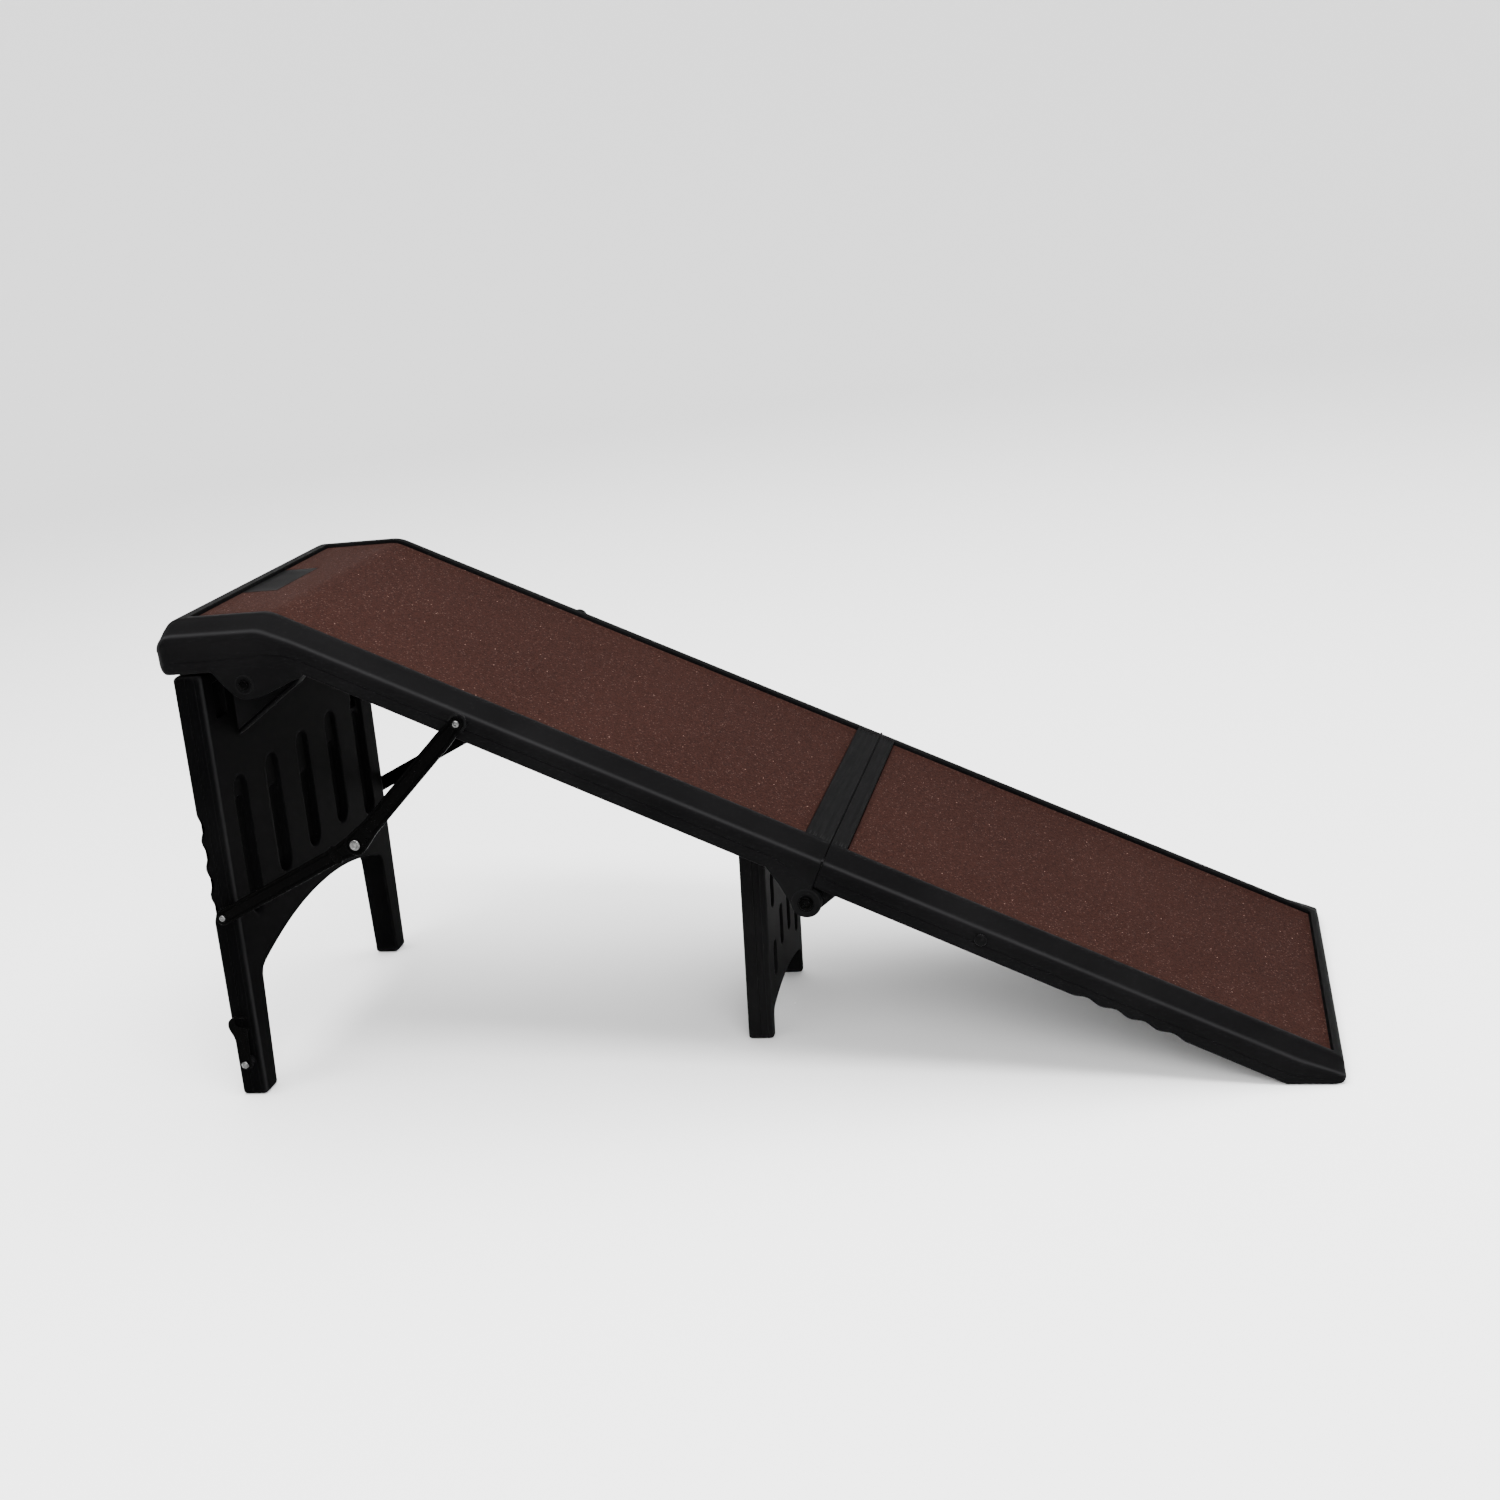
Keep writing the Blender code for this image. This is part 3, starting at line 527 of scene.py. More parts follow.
def upper_deck():
    """The landing, the bend and the upper slope. f counts along the walking surface from the high end's face; up to
    the bend a station stands upright, past it square to the slope, and between them it fans."""
    bend = BEND_X
    f = merged(
        NOSE * (1 - np.cos(np.radians(np.linspace(0, 90, 13)))), np.linspace(NOSE, 0.0300, 3),
        [0.0322, 0.0326, 0.0329, 0.0331], np.linspace(0.036, 0.0445, 4),
        [0.0452, 0.0462, 0.0480], np.linspace(0.052, 0.0765, 5), [0.0771, 0.0773],
        np.linspace(0.082, bend + 0.070, 32), np.linspace(bend + 0.080, bend + 0.60, 40),
        np.linspace(bend + 0.606, bend + 0.634, 10), bend + np.array([0.6353, 0.6356, 0.6359, 0.6362]),
        np.linspace(bend + 0.638, bend + SEAM - 0.0026, 26),
        bend + SEAM - SEAM_HALF - 0.0020 * (1 - np.sin(np.radians(np.linspace(0, 90, 7)))),
    )
    s = f - bend
    top_x, top_z, turn = walkway(s)
    up_x, up_z = np.sin(turn), np.cos(turn)
    corner = (DECK_Z - RAIL_P * COS - LANDING_LOW) / SIN
    fan0, fan1 = -0.030, 0.060
    along = np.clip((s - fan0) / (fan1 - fan0), 0, 1)
    flat_run = on_slope(corner, RAIL_P)[0] - (bend + fan0)
    slant_run = fan1 - corner
    walk = along * (flat_run + slant_run)
    knee = smooth((walk - flat_run + 0.008) / 0.016)
    fan_x = np.where(walk < flat_run, bend + fan0 + walk, on_slope(corner + walk - flat_run, RAIL_P)[0])
    fan_z = np.where(walk < flat_run, LANDING_LOW, on_slope(corner + walk - flat_run, RAIL_P)[1])
    fan_z = fan_z - 0.0007 * knee * (1 - knee) * 4
    low_x = np.where(s < fan0, f, np.where(s > fan1, on_slope(s, RAIL_P)[0], fan_x))
    low_z = np.where(s < fan0, LANDING_LOW, np.where(s > fan1, on_slope(s, RAIL_P)[1], fan_z))
    in_mat = (s > UPPER_MAT[0] - 1e-4) & (s < UPPER_MAT[1] + 1e-4)
    floor = np.where(in_mat, POCKET, -LIP)
    floor = np.where(~in_mat & (np.abs(s - UPPER_MAT[0] + 0.0002) < 0.00035), -LIP + 0.0008, floor)
    border = smooth((s - 0.638) / 0.003) * (1 - smooth((s - 0.6605) / 0.002))
    floor = floor + 0.0007 * border * (0.5 - 0.5 * np.cos(2 * math.pi * (s - 0.638) / 0.0075))
    pad = in_mat & (f < PAD_END)
    thick = (DECK_Z - LANDING_LOW) / RAIL_P
    crease = np.interp(s, [-0.13, -0.06, -0.010, 0.060, 0.618, 0.640], np.array(
        [0.0385 / thick, 0.0388 / thick, 0.0365 / thick, 0.0212, 0.0212, 0.0265]))
    groove = np.interp(s, [-0.129, -0.110, 0.628, 0.642], [0.0, 1.0, 1.0, 0.0])
    full = (f < 0.0455) | (s > SEAM - SEAM_HALF - 0.024)
    panel_p = np.interp(s, [fan0, fan1], [PANEL_P / thick, PANEL_P])
    panel = np.where(full, RAIL_P, panel_p)
    width = end_ease(f, 0.0200) + end_ease(SEAM - SEAM_HALF - s, 0.0012) * 0.35
    shape = (top_x, top_z, low_x, low_z, up_x, up_z, floor, pad, crease, groove, panel, 0.0, width)
    skin = both_halves(section(*shape, False), section(*shape, True))
    t = np.clip(1 - f / NOSE, 0, 1)
    high = LANDING_LOW + 0.022 + 0.035 * (1 - t ** 2.3) ** (1 / 2.3)
    b = np.clip(1 - f / 0.012, 0, 1)
    low = LANDING_LOW + 0.022 * (1 - np.sqrt(np.maximum(1 - b * b, 0)))
    squeeze = (high - low) / (DECK_Z + LIP - LANDING_LOW)
    nose_z = low[:, None] + (skin[..., 2] - LANDING_LOW) * squeeze[:, None]
    nose_z[0] = np.clip(nose_z[0], LANDING_LOW + 0.0195, LANDING_LOW + 0.0245)
    skin[..., 2] = np.where((f < NOSE)[:, None], nose_z, skin[..., 2])
    return grid(skin, wrap=True)


def lower_deck():
    """The lower slope, from the seam to the low end, where the bottom meets the floor and the end rounds over."""
    touch = (DECK_Z - RAIL_P * COS) / SIN
    start = SEAM + SEAM_HALF
    s = merged(
        start + 0.0020 * (1 - np.cos(np.radians(np.linspace(0, 90, 7)))), np.linspace(0.668, 0.6820, 20),
        [0.6833, 0.6836, 0.6839], np.linspace(0.686, 0.690, 3), [0.6895, 0.6905], np.linspace(0.700, 0.945, 22),
        np.linspace(0.952, 1.092, 72), np.linspace(1.100, 1.163, 7), [1.1646, 1.1654], np.linspace(1.170, touch, 5),
        np.linspace(touch + 0.004, 1.230, 6), [1.2322, 1.2326, 1.2330, 1.2345, TIP],
    )
    top_x, top_z = on_slope(s, 0.0)
    low_x, low_z = on_slope(s, RAIL_P)
    past = (s - touch) / (TIP - touch)
    low_x = np.where(s > touch, on_slope(touch, RAIL_P)[0] + past * (1.2372 - on_slope(touch, RAIL_P)[0]), low_x)
    low_z = np.where(s > touch, 0.0, low_z)
    up_x, up_z = np.full(len(s), SIN), np.full(len(s), COS)
    tip = np.array([
        (1.2408, 0.0126, 1.2400, 0.0005, 0.86), (1.2428, 0.0116, 1.2421, 0.0017, 0.66),
        (1.2441, 0.0103, 1.2438, 0.0035, 0.38), (1.2449, 0.0087, 1.2448, 0.0058, 0.12),
    ])
    s = np.concatenate([s, TIP + 0.0012 * np.arange(1, 5)])
    top_x, top_z = np.append(top_x, tip[:, 0]), np.append(top_z, tip[:, 1])
    low_x, low_z = np.append(low_x, tip[:, 2]), np.append(low_z, tip[:, 3])
    up_x, up_z = np.append(up_x, SIN * tip[:, 4]), np.append(up_z, COS * tip[:, 4])
    in_mat = (s > LOWER_MAT[0] - 1e-4) & (s < LOWER_MAT[1] + 1e-4)
    floor = np.where(in_mat, POCKET, -LIP)
    floor = floor + np.where(in_mat & (s > 1.20), -0.0012, 0.0)
    border = smooth((s - 0.6685) / 0.002) * (1 - smooth((s - 0.6800) / 0.002))
    floor = floor + 0.0006 * border * (0.5 - 0.5 * np.cos(2 * math.pi * (s - 0.6685) / 0.0068))
    wave = 0.5 + 0.5 * np.cos(2 * math.pi * (s - GRIP_FIRST) / GRIP_PITCH)
    lift = np.where((s > 0.9580) & (s < 1.0860), 0.0034 * wave, 0.0)
    crease = np.interp(s, [0.665, 0.690, 0.98, 1.0, 1.11, 1.16], [0.0200, 0.0215, 0.0225, 0.0225, 0.0225, 0.0235])
    groove = np.interp(s, [0.6660, 0.672, 1.19, 1.23], [0.0, 1.0, 1.0, 0.0])
    full = (s < start + 0.0240) | (s > 1.165)
    panel = np.where(full, RAIL_P, PANEL_P)
    width = end_ease(s - start, 0.0012) * 0.35 + end_ease(1.2424 - s, 0.0110) * 0.8
    no_pad = np.zeros(len(s), bool)
    shape = (top_x, top_z, low_x, low_z, up_x, up_z, floor, no_pad, crease, groove, panel, lift, width)
    return grid(both_halves(section(*shape, False), section(*shape, True)), wrap=True)


EAR = [
    (0.060, 0.5225), (0.066, 0.5150), (0.071, 0.5080), (0.080, 0.4955), (0.0905, 0.4845), (0.1005, 0.4800),
    (0.1130, 0.4802), (0.130, 0.4850), (0.148, 0.4920), (0.163, 0.4985), (0.1755, 0.5010), (0.1735, 0.5110),
    (0.160, 0.5225),
]


def web(mirrored):
    """Outline of a hinge web: a leg from the rail's bottom to the knuckle's disc, and back up beside the seam."""
    disc = ring_arc((SEAM, 0.055), 0.0165, 148, -89, 40)
    run = [(0.600, 0.0270), (0.609, 0.0335), (0.631, 0.0475), (0.6475, 0.0605)]
    if mirrored:
        run = [(0.632, 0.0270), (0.635, 0.0335), (0.6405, 0.0440), (0.6470, 0.0570)]
    points = np.concatenate([run, disc, [(SEAM - 0.0003, 0.0400), (SEAM - 0.0003, 0.0270)]])
    s = 2 * SEAM - points[:, 0] if mirrored else points[:, 0]
    return np.stack(on_slope(s, points[:, 1]), axis=1)


def lip_strip():
    """A strip on the upper deck's end face that closes the seam to light, 0.3 mm short of the lower deck."""
    start, end = SEAM - 0.0020, SEAM + 0.0003
    s, p = np.array([start, end, end, start]), np.array([0.0045, 0.0045, 0.0340, 0.0340])
    return plate(np.stack(on_slope(s, p), axis=1), -0.2340, 0.2340, 0.0002)


def hinge_boss():
    """Outline of the middle leg's hinge boss: a round eye and a foot that spreads to the panel."""
    eye = ring_arc((0.5647, 0.040), 0.0115, -10, 190, 28)
    foot = [(0.5500, 0.030), (0.5447, 0.020), (0.5847, 0.020), (0.5794, 0.030)]
    s, p = np.concatenate([eye, foot]).T
    return np.stack(on_slope(s, p), axis=1)


upper_parts, lower_parts = [upper_deck(), lip_strip()], [lower_deck()]
for side in (-1, 1):
    upper_parts.append(plate(rounded(EAR, 2), side * WEB_IN, side * WEB_OUT, 0.0013))
    upper_parts.append(plate(web(False), side * WEB_IN, side * WEB_OUT, 0.0012))
    upper_parts.append(turned(HINGE, [
        (0.0085, 0.2350), (0.0090, 0.2362), (0.0100, 0.2366), (0.0122, 0.2362), (0.0132, 0.2364), (0.0150, 0.2367),
        (0.0160, 0.2362), (0.0163, 0.2350),
    ], side, 64))
    upper_parts.append(turned(TALL_PIVOT, [
        (0.0080, 0.2350), (0.0088, 0.2361), (0.0098, 0.2363), (0.0108, 0.2360), (0.0112, 0.2350),
    ], side, 48))
    upper_parts.append(plate(hinge_boss(), side * 0.1050, side * 0.1190, 0.0012))
    lower_parts.append(plate(web(True), side * 0.2065, side * 0.2214, 0.0012))
build("upper_deck_shell", upper_parts, "upper_section", deck_plastic, ["upper_deck"], 38)
build("lower_deck_shell", lower_parts, "lower_section", deck_plastic, ["lower_deck"], 38)


# ---- tread mats ----

def mat_skin(s0, s1, notched):
    """A thin slab that follows the walking surface: stations along it, and rings across it of a top with rounded
    edges and a flat back. A notched one is three slabs: the slope and most of the landing in one, and a strip on
    each side of the notch."""
    thick, edge = POCKET - 0.0003, 0.0007
    s0, s1 = s0 + 0.0006, s1 - 0.0006

    def slab(a, b, y0, y1, soft_a=True, soft_b=True):
        """One slab from a to b and y0 to y1, each end rounded where its soft flag is set."""
        end = edge * np.array([0, 0.15, 0.5, 1.0])
        bend = np.clip(np.linspace(-BEND_REACH, BEND_REACH, 9), a, b)
        s = merged(np.linspace(a, b, max(6, int((b - a) / 0.012))), a + end, b - end, bend)
        ease = (end_ease(s - a, edge) if soft_a else 0) + (end_ease(b - s, edge) if soft_b else 0)
        t = np.array([0, 0.05, 0.30, 1.0]) * edge
        y = np.concatenate([y0 + t, np.linspace(y0 + 0.004, y1 - 0.004, 24), y1 - t[::-1]])
        across = end_ease(y - y0, edge) + end_ease(y1 - y, edge)
        n_top = -np.maximum(ease[:, None], across[None])
        n = np.concatenate([n_top, np.full((len(s), 2), -thick)], axis=1)
        yy = np.concatenate([y, [y1, y0]])
        x0, z0, turn = walkway(s)
        x = x0[:, None] + n * np.sin(turn)[:, None]
        z = z0[:, None] + n * np.cos(turn)[:, None]
        return grid(np.stack([x, np.broadcast_to(yy, x.shape), z], axis=-1), wrap=True)

    if not notched:
        return [slab(s0, s1, -MAT_HALF, MAT_HALF)]
    cut = NOTCH_END - BEND_X
    return [
        slab(cut, s1, -MAT_HALF, MAT_HALF, soft_a=False),
        slab(s0, cut, -MAT_HALF, -NOTCH_HALF, soft_b=False),
        slab(s0, cut, NOTCH_HALF, MAT_HALF, soft_b=False),
    ]


upper_mat = build("upper_mat_sheet", mat_skin(*UPPER_MAT, True), "upper_section", tread,
                  ["upper_tread_mat"], 60)
lower_mat = build("lower_mat_sheet", mat_skin(*LOWER_MAT, False), "lower_section", tread,
                  ["lower_tread_mat"], 60)


# ---- legs ----

TALL_HALF, TALL_TOP = 0.228, 0.508
TALL_APEX, TALL_ARCH_RADIUS = 0.179, 0.520
MID_HALF, MID_APEX, MID_ARCH_RADIUS = 0.102, 0.046, 0.300


def capsule(y, z, middle, half, bottom, top):
    """How far inside a round-ended slot a point is: half less its distance from the slot's centre line."""
    return half - np.hypot(y - middle, z - np.clip(z, bottom + half, top - half))


def box_inside(y, z, middle, half, bottom, top, corner):
    """How far inside a rectangle with rounded corners a point is."""
    dy = np.abs(y - middle) - (half - corner)
    dz = np.abs(z - (bottom + top) / 2) - ((top - bottom) / 2 - corner)
    outside = np.hypot(np.maximum(dy, 0), np.maximum(dz, 0)) + np.minimum(np.maximum(dy, dz), 0)
    return corner - outside


def fine_steps(edges, low, high, fine, spread, coarse):
    """Values from low to high: a fine run either side of each edge and a coarse one between."""
    runs = [np.arange(e - spread, e + spread + fine / 2, fine) for e in edges]
    values = np.concatenate(runs + [np.arange(low, high, coarse), [low, high]])
    values = np.unique(np.round(values[(values >= low) & (values <= high)], 6))
    keep = np.concatenate([[True], np.diff(values) > fine * 0.45])
    values = values[keep]
    values[-1] = high
    return values


def leg_half(z, inner, half, front, rear, recess, back_cut, columns, edge, seam_at, near, soft_top):
    """One half of a leg: at each height a ring that runs over the front face from the arch's edge to the outer
    edge, round it with radius edge, along the side with its moulding line, and back over the rear face. Above the
    arch the two halves meet on the middle plane. The feet draw in by a quarter round, and so does a soft top."""
    foot = end_ease(z, 0.0035)
    crown = end_ease(z[-1] - z, 0.0050) if soft_top else 0.0 * z
    tuck = foot + crown
    open_row = inner > 1e-6
    inner = np.where(open_row, inner + foot, 0.0)
    half = half - tuck
    x_front, x_rear = front - tuck, rear + tuck
    corner = np.minimum(0.0028, inner)
    start = inner + corner
    v = columns / columns[-1]
    y = start[:, None] + v[None] * (half - edge - start)[:, None]
    x = x_front[:, None] - recess(y, z[:, None])
    a = np.radians([15, 30, 45, 60, 75, 90])
    turn_y = (half - edge)[:, None] + edge * np.sin(a)[None]
    turn_x = x_front[:, None] - edge * (1 - np.cos(a))[None]
    depth = x_front - x_rear
    u = np.array([0.19, 0.215, 0.235, 0.26, 0.40, seam_at - 0.016, seam_at, seam_at + 0.016, 0.74, 0.84])
    sink = np.array([0.0, 0.0006, 0.0006, 0.0, 0.0, 0.0, -0.0005, 0.0, 0.0, 0.0])
    side_x = x_front[:, None] - u[None] * depth[:, None]
    side_y = half[:, None] - sink[None]
    cut = back_cut(z)
    back_y = (half - edge)[:, None] + edge * np.sin(a[::-1])[None]
    back_x = (x_rear + cut)[:, None] + edge * (1 - np.cos(a[::-1]))[None]
    w = np.array([0.0, 0.04, 0.08, 0.12, 0.30, 0.50, 0.75, 1.0])
    rear_y = (half - edge)[:, None] + w[None] * (start - (half - edge))[:, None]
    rear_x = x_rear[:, None] + (cut[:, None] * (rear_y > 0.206))
    c = np.radians([30, 60, 90])
    rear_turn_y = start[:, None] - corner[:, None] * np.sin(c)[None]
    rear_turn_x = x_rear[:, None] + corner[:, None] * (1 - np.cos(c))[None]
    front_turn_y = start[:, None] - corner[:, None] * np.sin(c[::-1])[None]
    front_turn_x = x_front[:, None] - corner[:, None] * (1 - np.cos(c[::-1]))[None]
    ring_y = np.concatenate([y, turn_y, side_y, back_y, rear_y, rear_turn_y, front_turn_y], axis=1)
    ring_x = np.concatenate([x, turn_x, side_x, back_x, rear_x, rear_turn_x, front_turn_x], axis=1)
    closed = ~open_row
    turned_in = len(c)
    ring_y[closed, -2 * turned_in:] = 0.0
    ring_x[closed, -2 * turned_in:-turned_in] = x_rear[closed, None]
    ring_x[closed, -turned_in:] = x[closed, :1]
    sign = -1.0 if near else 1.0
    points = np.stack([ring_x, sign * ring_y, np.broadcast_to(z[:, None], ring_x.shape)], axis=-1)
    rows, cols = ring_x.shape
    n = np.arange(rows * cols).reshape(rows, cols)
    around = np.concatenate([n, n[:, :1]], axis=1)
    squares = np.stack([around[:-1, :-1], around[:-1, 1:], around[1:, 1:], around[1:, :-1]], axis=-1)
    keep = np.ones(squares.shape[:2], bool)
    middle_square = cols - turned_in - 1
    keep[closed[:-1] & closed[1:], middle_square] = False
    faces = squares[keep].reshape(-1, 4).tolist()
    faces += [n[0].tolist(), n[-1].tolist()]
    return points.reshape(-1, 3), faces


def tall_front(z):
    """x of the tall leg's front face, which leans forwards as it rises."""
    return 0.0312 + 0.0335 * z


def tall_rear(z):
    """x of its rear face, which leans a little less."""
    return 0.0005 + 0.0280 * z


OUTER_SLOT_Y = 0.174


def tall_recess(y, z):
    """Depth of the slots and the corner pocket: a shallow slot with a soft rim, and a deeper one inside its lower
    part that ends in a round step."""
    depth = 0.0 * (y + z)
    for middle, bottom, step in ((0.0, 0.226, 0.327), (0.088, 0.226, 0.337), (OUTER_SLOT_Y, 0.207, 0.352)):
        shallow = 0.0042 * smooth(capsule(y, z, middle, 0.0178, bottom, 0.377) / 0.0050)
        deep = 0.0036 * smooth(capsule(y, z, middle, 0.0134, bottom + 0.0030, step) / 0.0030)
        depth = np.maximum(depth, shallow + deep)
    pocket = 0.0052 * smooth(box_inside(y, z, 0.189, 0.0140, 0.450, 0.493, 0.0045) / 0.0028)
    return np.maximum(depth, pocket)


def tall_recess_far(y, z):
    """The near half's depths, with a dark window above the outermost slot's step."""
    window = 0.0150 * smooth(capsule(y, z, OUTER_SLOT_Y, 0.0138, 0.3560, 0.4080) / 0.0030)
    return np.maximum(tall_recess(y, z), window)


def arch_rows(spring, shoulder, apex, radius, reach, count):
    """Heights up an arch: its foot, its shoulder, then even steps in from the reach to the crown, where the height
    is apex less the half width squared over twice the radius."""
    a = np.linspace(reach, 0.0, count)
    foot = [0, 0.0003, 0.0010, 0.0022, 0.0035, 0.008]
    return np.concatenate([foot, np.linspace(0.016, spring, 10), [shoulder], apex - a * a / (2 * radius)])


def arch_half(z, apex, radius, heights, widths):
    """Half width of an arch: straight runs through the widths at these heights, then a crown, where it is the root
    of twice the radius times the height left to the apex, and 0 from the apex up."""
    crown = np.sqrt(np.maximum(2 * radius * (apex - z), 0.0))
    half = np.where(z <= heights[-1], np.interp(z, heights, widths), crown)
    half[z > apex - 1e-7] = 0.0
    return half


def leg_rows(z_arch, z_above):
    """The arch's heights, and those above it that aren't too close to the last one."""
    return np.concatenate([z_arch, z_above[z_above > z_arch[-1] + 0.0012]])


arch_z = arch_rows(0.136, 0.144, TALL_APEX, TALL_ARCH_RADIUS, 0.177, 24)
above = fine_steps([0.218, 0.235, 0.335, 0.346, 0.371, 0.450, 0.493], 0.1805, TALL_TOP, 0.0013, 0.0080, 0.0050)
above = merged(above, TALL_TOP - 0.0050 * (1 - np.sin(np.radians(np.linspace(0, 90, 6)))))
tall_z = leg_rows(arch_z, above)
tall_inner = arch_half(
    tall_z, TALL_APEX, TALL_ARCH_RADIUS, [0, 0.136, 0.144, 0.1489], [0.197, 0.189, 0.1854, 0.177],
)
slot_edges = [0.0145, 0.0740, 0.1020, 0.1600, 0.1880, 0.176, 0.202]
tall_columns = fine_steps(slot_edges, 0.0, 0.2240, 0.0009, 0.0042, 0.0055)


def grips(z):
    """Four finger scallops in the rear edge: a raised cosine 33 mm long and 4.3 mm deep, repeated."""
    wave = 0.5 + 0.5 * np.cos(2 * math.pi * (z - 0.2320) / 0.0330)
    return np.where((z > 0.2155) & (z < 0.3475), 0.0043 * wave ** 0.85, 0.0)


def plain(z):
    """No scallops."""
    return 0.0 * z


def lug_outline():
    """Outline of the hinge lug: the round eye, and straight sides to its root in the leg's front face."""
    eye = ring_arc(TALL_PIVOT, 0.032, -66, 108, 40)
    root = np.array([
        (tall_front(0.5) - 0.014, 0.5000), (tall_front(0.42) - 0.014, 0.420), (tall_front(0.418) - 0.001, 0.4180),
    ])
    return np.concatenate([eye, root])


tall_parts = [
    leg_half(
        tall_z, tall_inner, TALL_HALF, tall_front(tall_z), tall_rear(tall_z),
        tall_recess if near else tall_recess_far, grips if near else plain, tall_columns, 0.0045, 0.55, near, True,
    )
    for near in (False, True)
]
LUG_RIBS = [(0.0030, 0.0), (0.0034, 0.0008), (0.0048, 0.0008), (0.0052, 0.0)]
LUG_COLLAR = [(0.0060, 0.1550), (0.0075, 0.1572), (0.0120, 0.1572), (0.0135, 0.1555)]
for side in (-1, 1):
    tall_parts.append(plate(lug_outline(), side * 0.1310, side * 0.1560, 0.0020, LUG_RIBS))
    tall_parts.append(turned(TALL_PIVOT, LUG_COLLAR, side, 40))
build("tall_leg_shell", tall_parts, "tall_leg", leg_plastic, ["tall_leg_panel"], 42)


def mid_middle(z):
    """x of the middle leg's middle plane, which leans about its pivot."""
    return MID_PIVOT[0] - (MID_PIVOT[1] - z) * 0.0610


def mid_recess(y, z):
    """Depth of the six slots of the middle leg, each with a soft rim."""
    depth = 0.0 * (y + z)
    for middle, bottom, top in ((0.067, 0.066, 0.110), (0.067, 0.150, 0.196), (0.0225, 0.086, 0.138)):
        depth = np.maximum(depth, 0.0055 * smooth(capsule(y, z, middle, 0.0095, bottom, top) / 0.0030))
    return depth


mid_arch = arch_rows(0.026, 0.0317, MID_APEX, MID_ARCH_RADIUS, 0.0805, 18)
mid_arch = merged(mid_arch[mid_arch <= MID_APEX + 1e-9])
mid_above = fine_steps([0.070, 0.090, 0.106, 0.134, 0.154, 0.192], 0.0475, 0.2620, 0.0012, 0.0055, 0.0060)
mid_z = leg_rows(mid_arch, mid_above)
mid_inner = arch_half(
    mid_z, MID_APEX, MID_ARCH_RADIUS, [0, 0.026, 0.0317, 0.0352], [0.0900, 0.0885, 0.0861, 0.0805],
)
mid_columns = fine_steps([0.0145, 0.0305, 0.0590, 0.0750], 0.0, 0.0980, 0.0008, 0.0036, 0.0050)
mid_parts = [
    leg_half(
        mid_z, mid_inner, MID_HALF, mid_middle(mid_z) + 0.015, mid_middle(mid_z) - 0.015, mid_recess, plain,
        mid_columns, 0.0035, 0.50, near, False,
    )
    for near in (False, True)
]
mid_parts.append(turned(MID_PIVOT, [
    (0.0070, -0.1019), (0.0120, -0.1020), (0.0138, -0.1016), (0.0147, -0.1007), (0.0150, -0.0990), (0.0150, 0.0990),
    (0.0147, 0.1007), (0.0138, 0.1016), (0.0120, 0.1020), (0.0070, 0.1019),
], 1, 64))
# The middle leg takes the brightened copy of the leg plastic, which is painted light.
build("mid_leg_shell", mid_parts, "mid_leg", mid_leg_lit_plastic, ["mid_leg_panel"], 42)


# ---- braces, bolts and latch ----

def tab(middle, along, half_length, half_width):
    """Outline of a stop tab: a rectangle across the link with its corners cut round."""
    across = np.array([-along[1], along[0]])
    corners = np.array([(-1, -1), (1, -1), (1, 1), (-1, 1)], float)
    return rounded(middle + corners[:, :1] * half_length * along + corners[:, 1:] * half_width * across, 2)


def toward(a, b):
    """Unit vector from a to b."""
    way = np.array(b) - np.array(a)
    return way / np.linalg.norm(way)


WASHER = np.array([
    (0.0032, 0.2394), (0.0056, 0.2394), (0.0059, 0.2397), (0.0058, 0.2402), (0.0052, 0.2405), (0.0032, 0.2405),
])
RIB = [(0.0026, 0.0), (0.0031, 0.0006), (0.0040, 0.0006), (0.0045, 0.0)]
to_leg, to_rail = toward(BRACE_MID, BRACE_LEG), toward(BRACE_MID, BRACE_RAIL)
lower_link = strap(BRACE_LEG, BRACE_MID, 0.0092, 0.0118, 0.0090)
upper_link = strap(BRACE_RAIL, BRACE_MID, 0.0079, 0.0125, 0.0100)
lower_tab = tab(BRACE_MID + 0.030 * to_leg, to_leg, 0.0060, 0.0106)
upper_tab = tab(BRACE_MID + 0.022 * to_rail, to_rail, 0.0045, 0.0100)
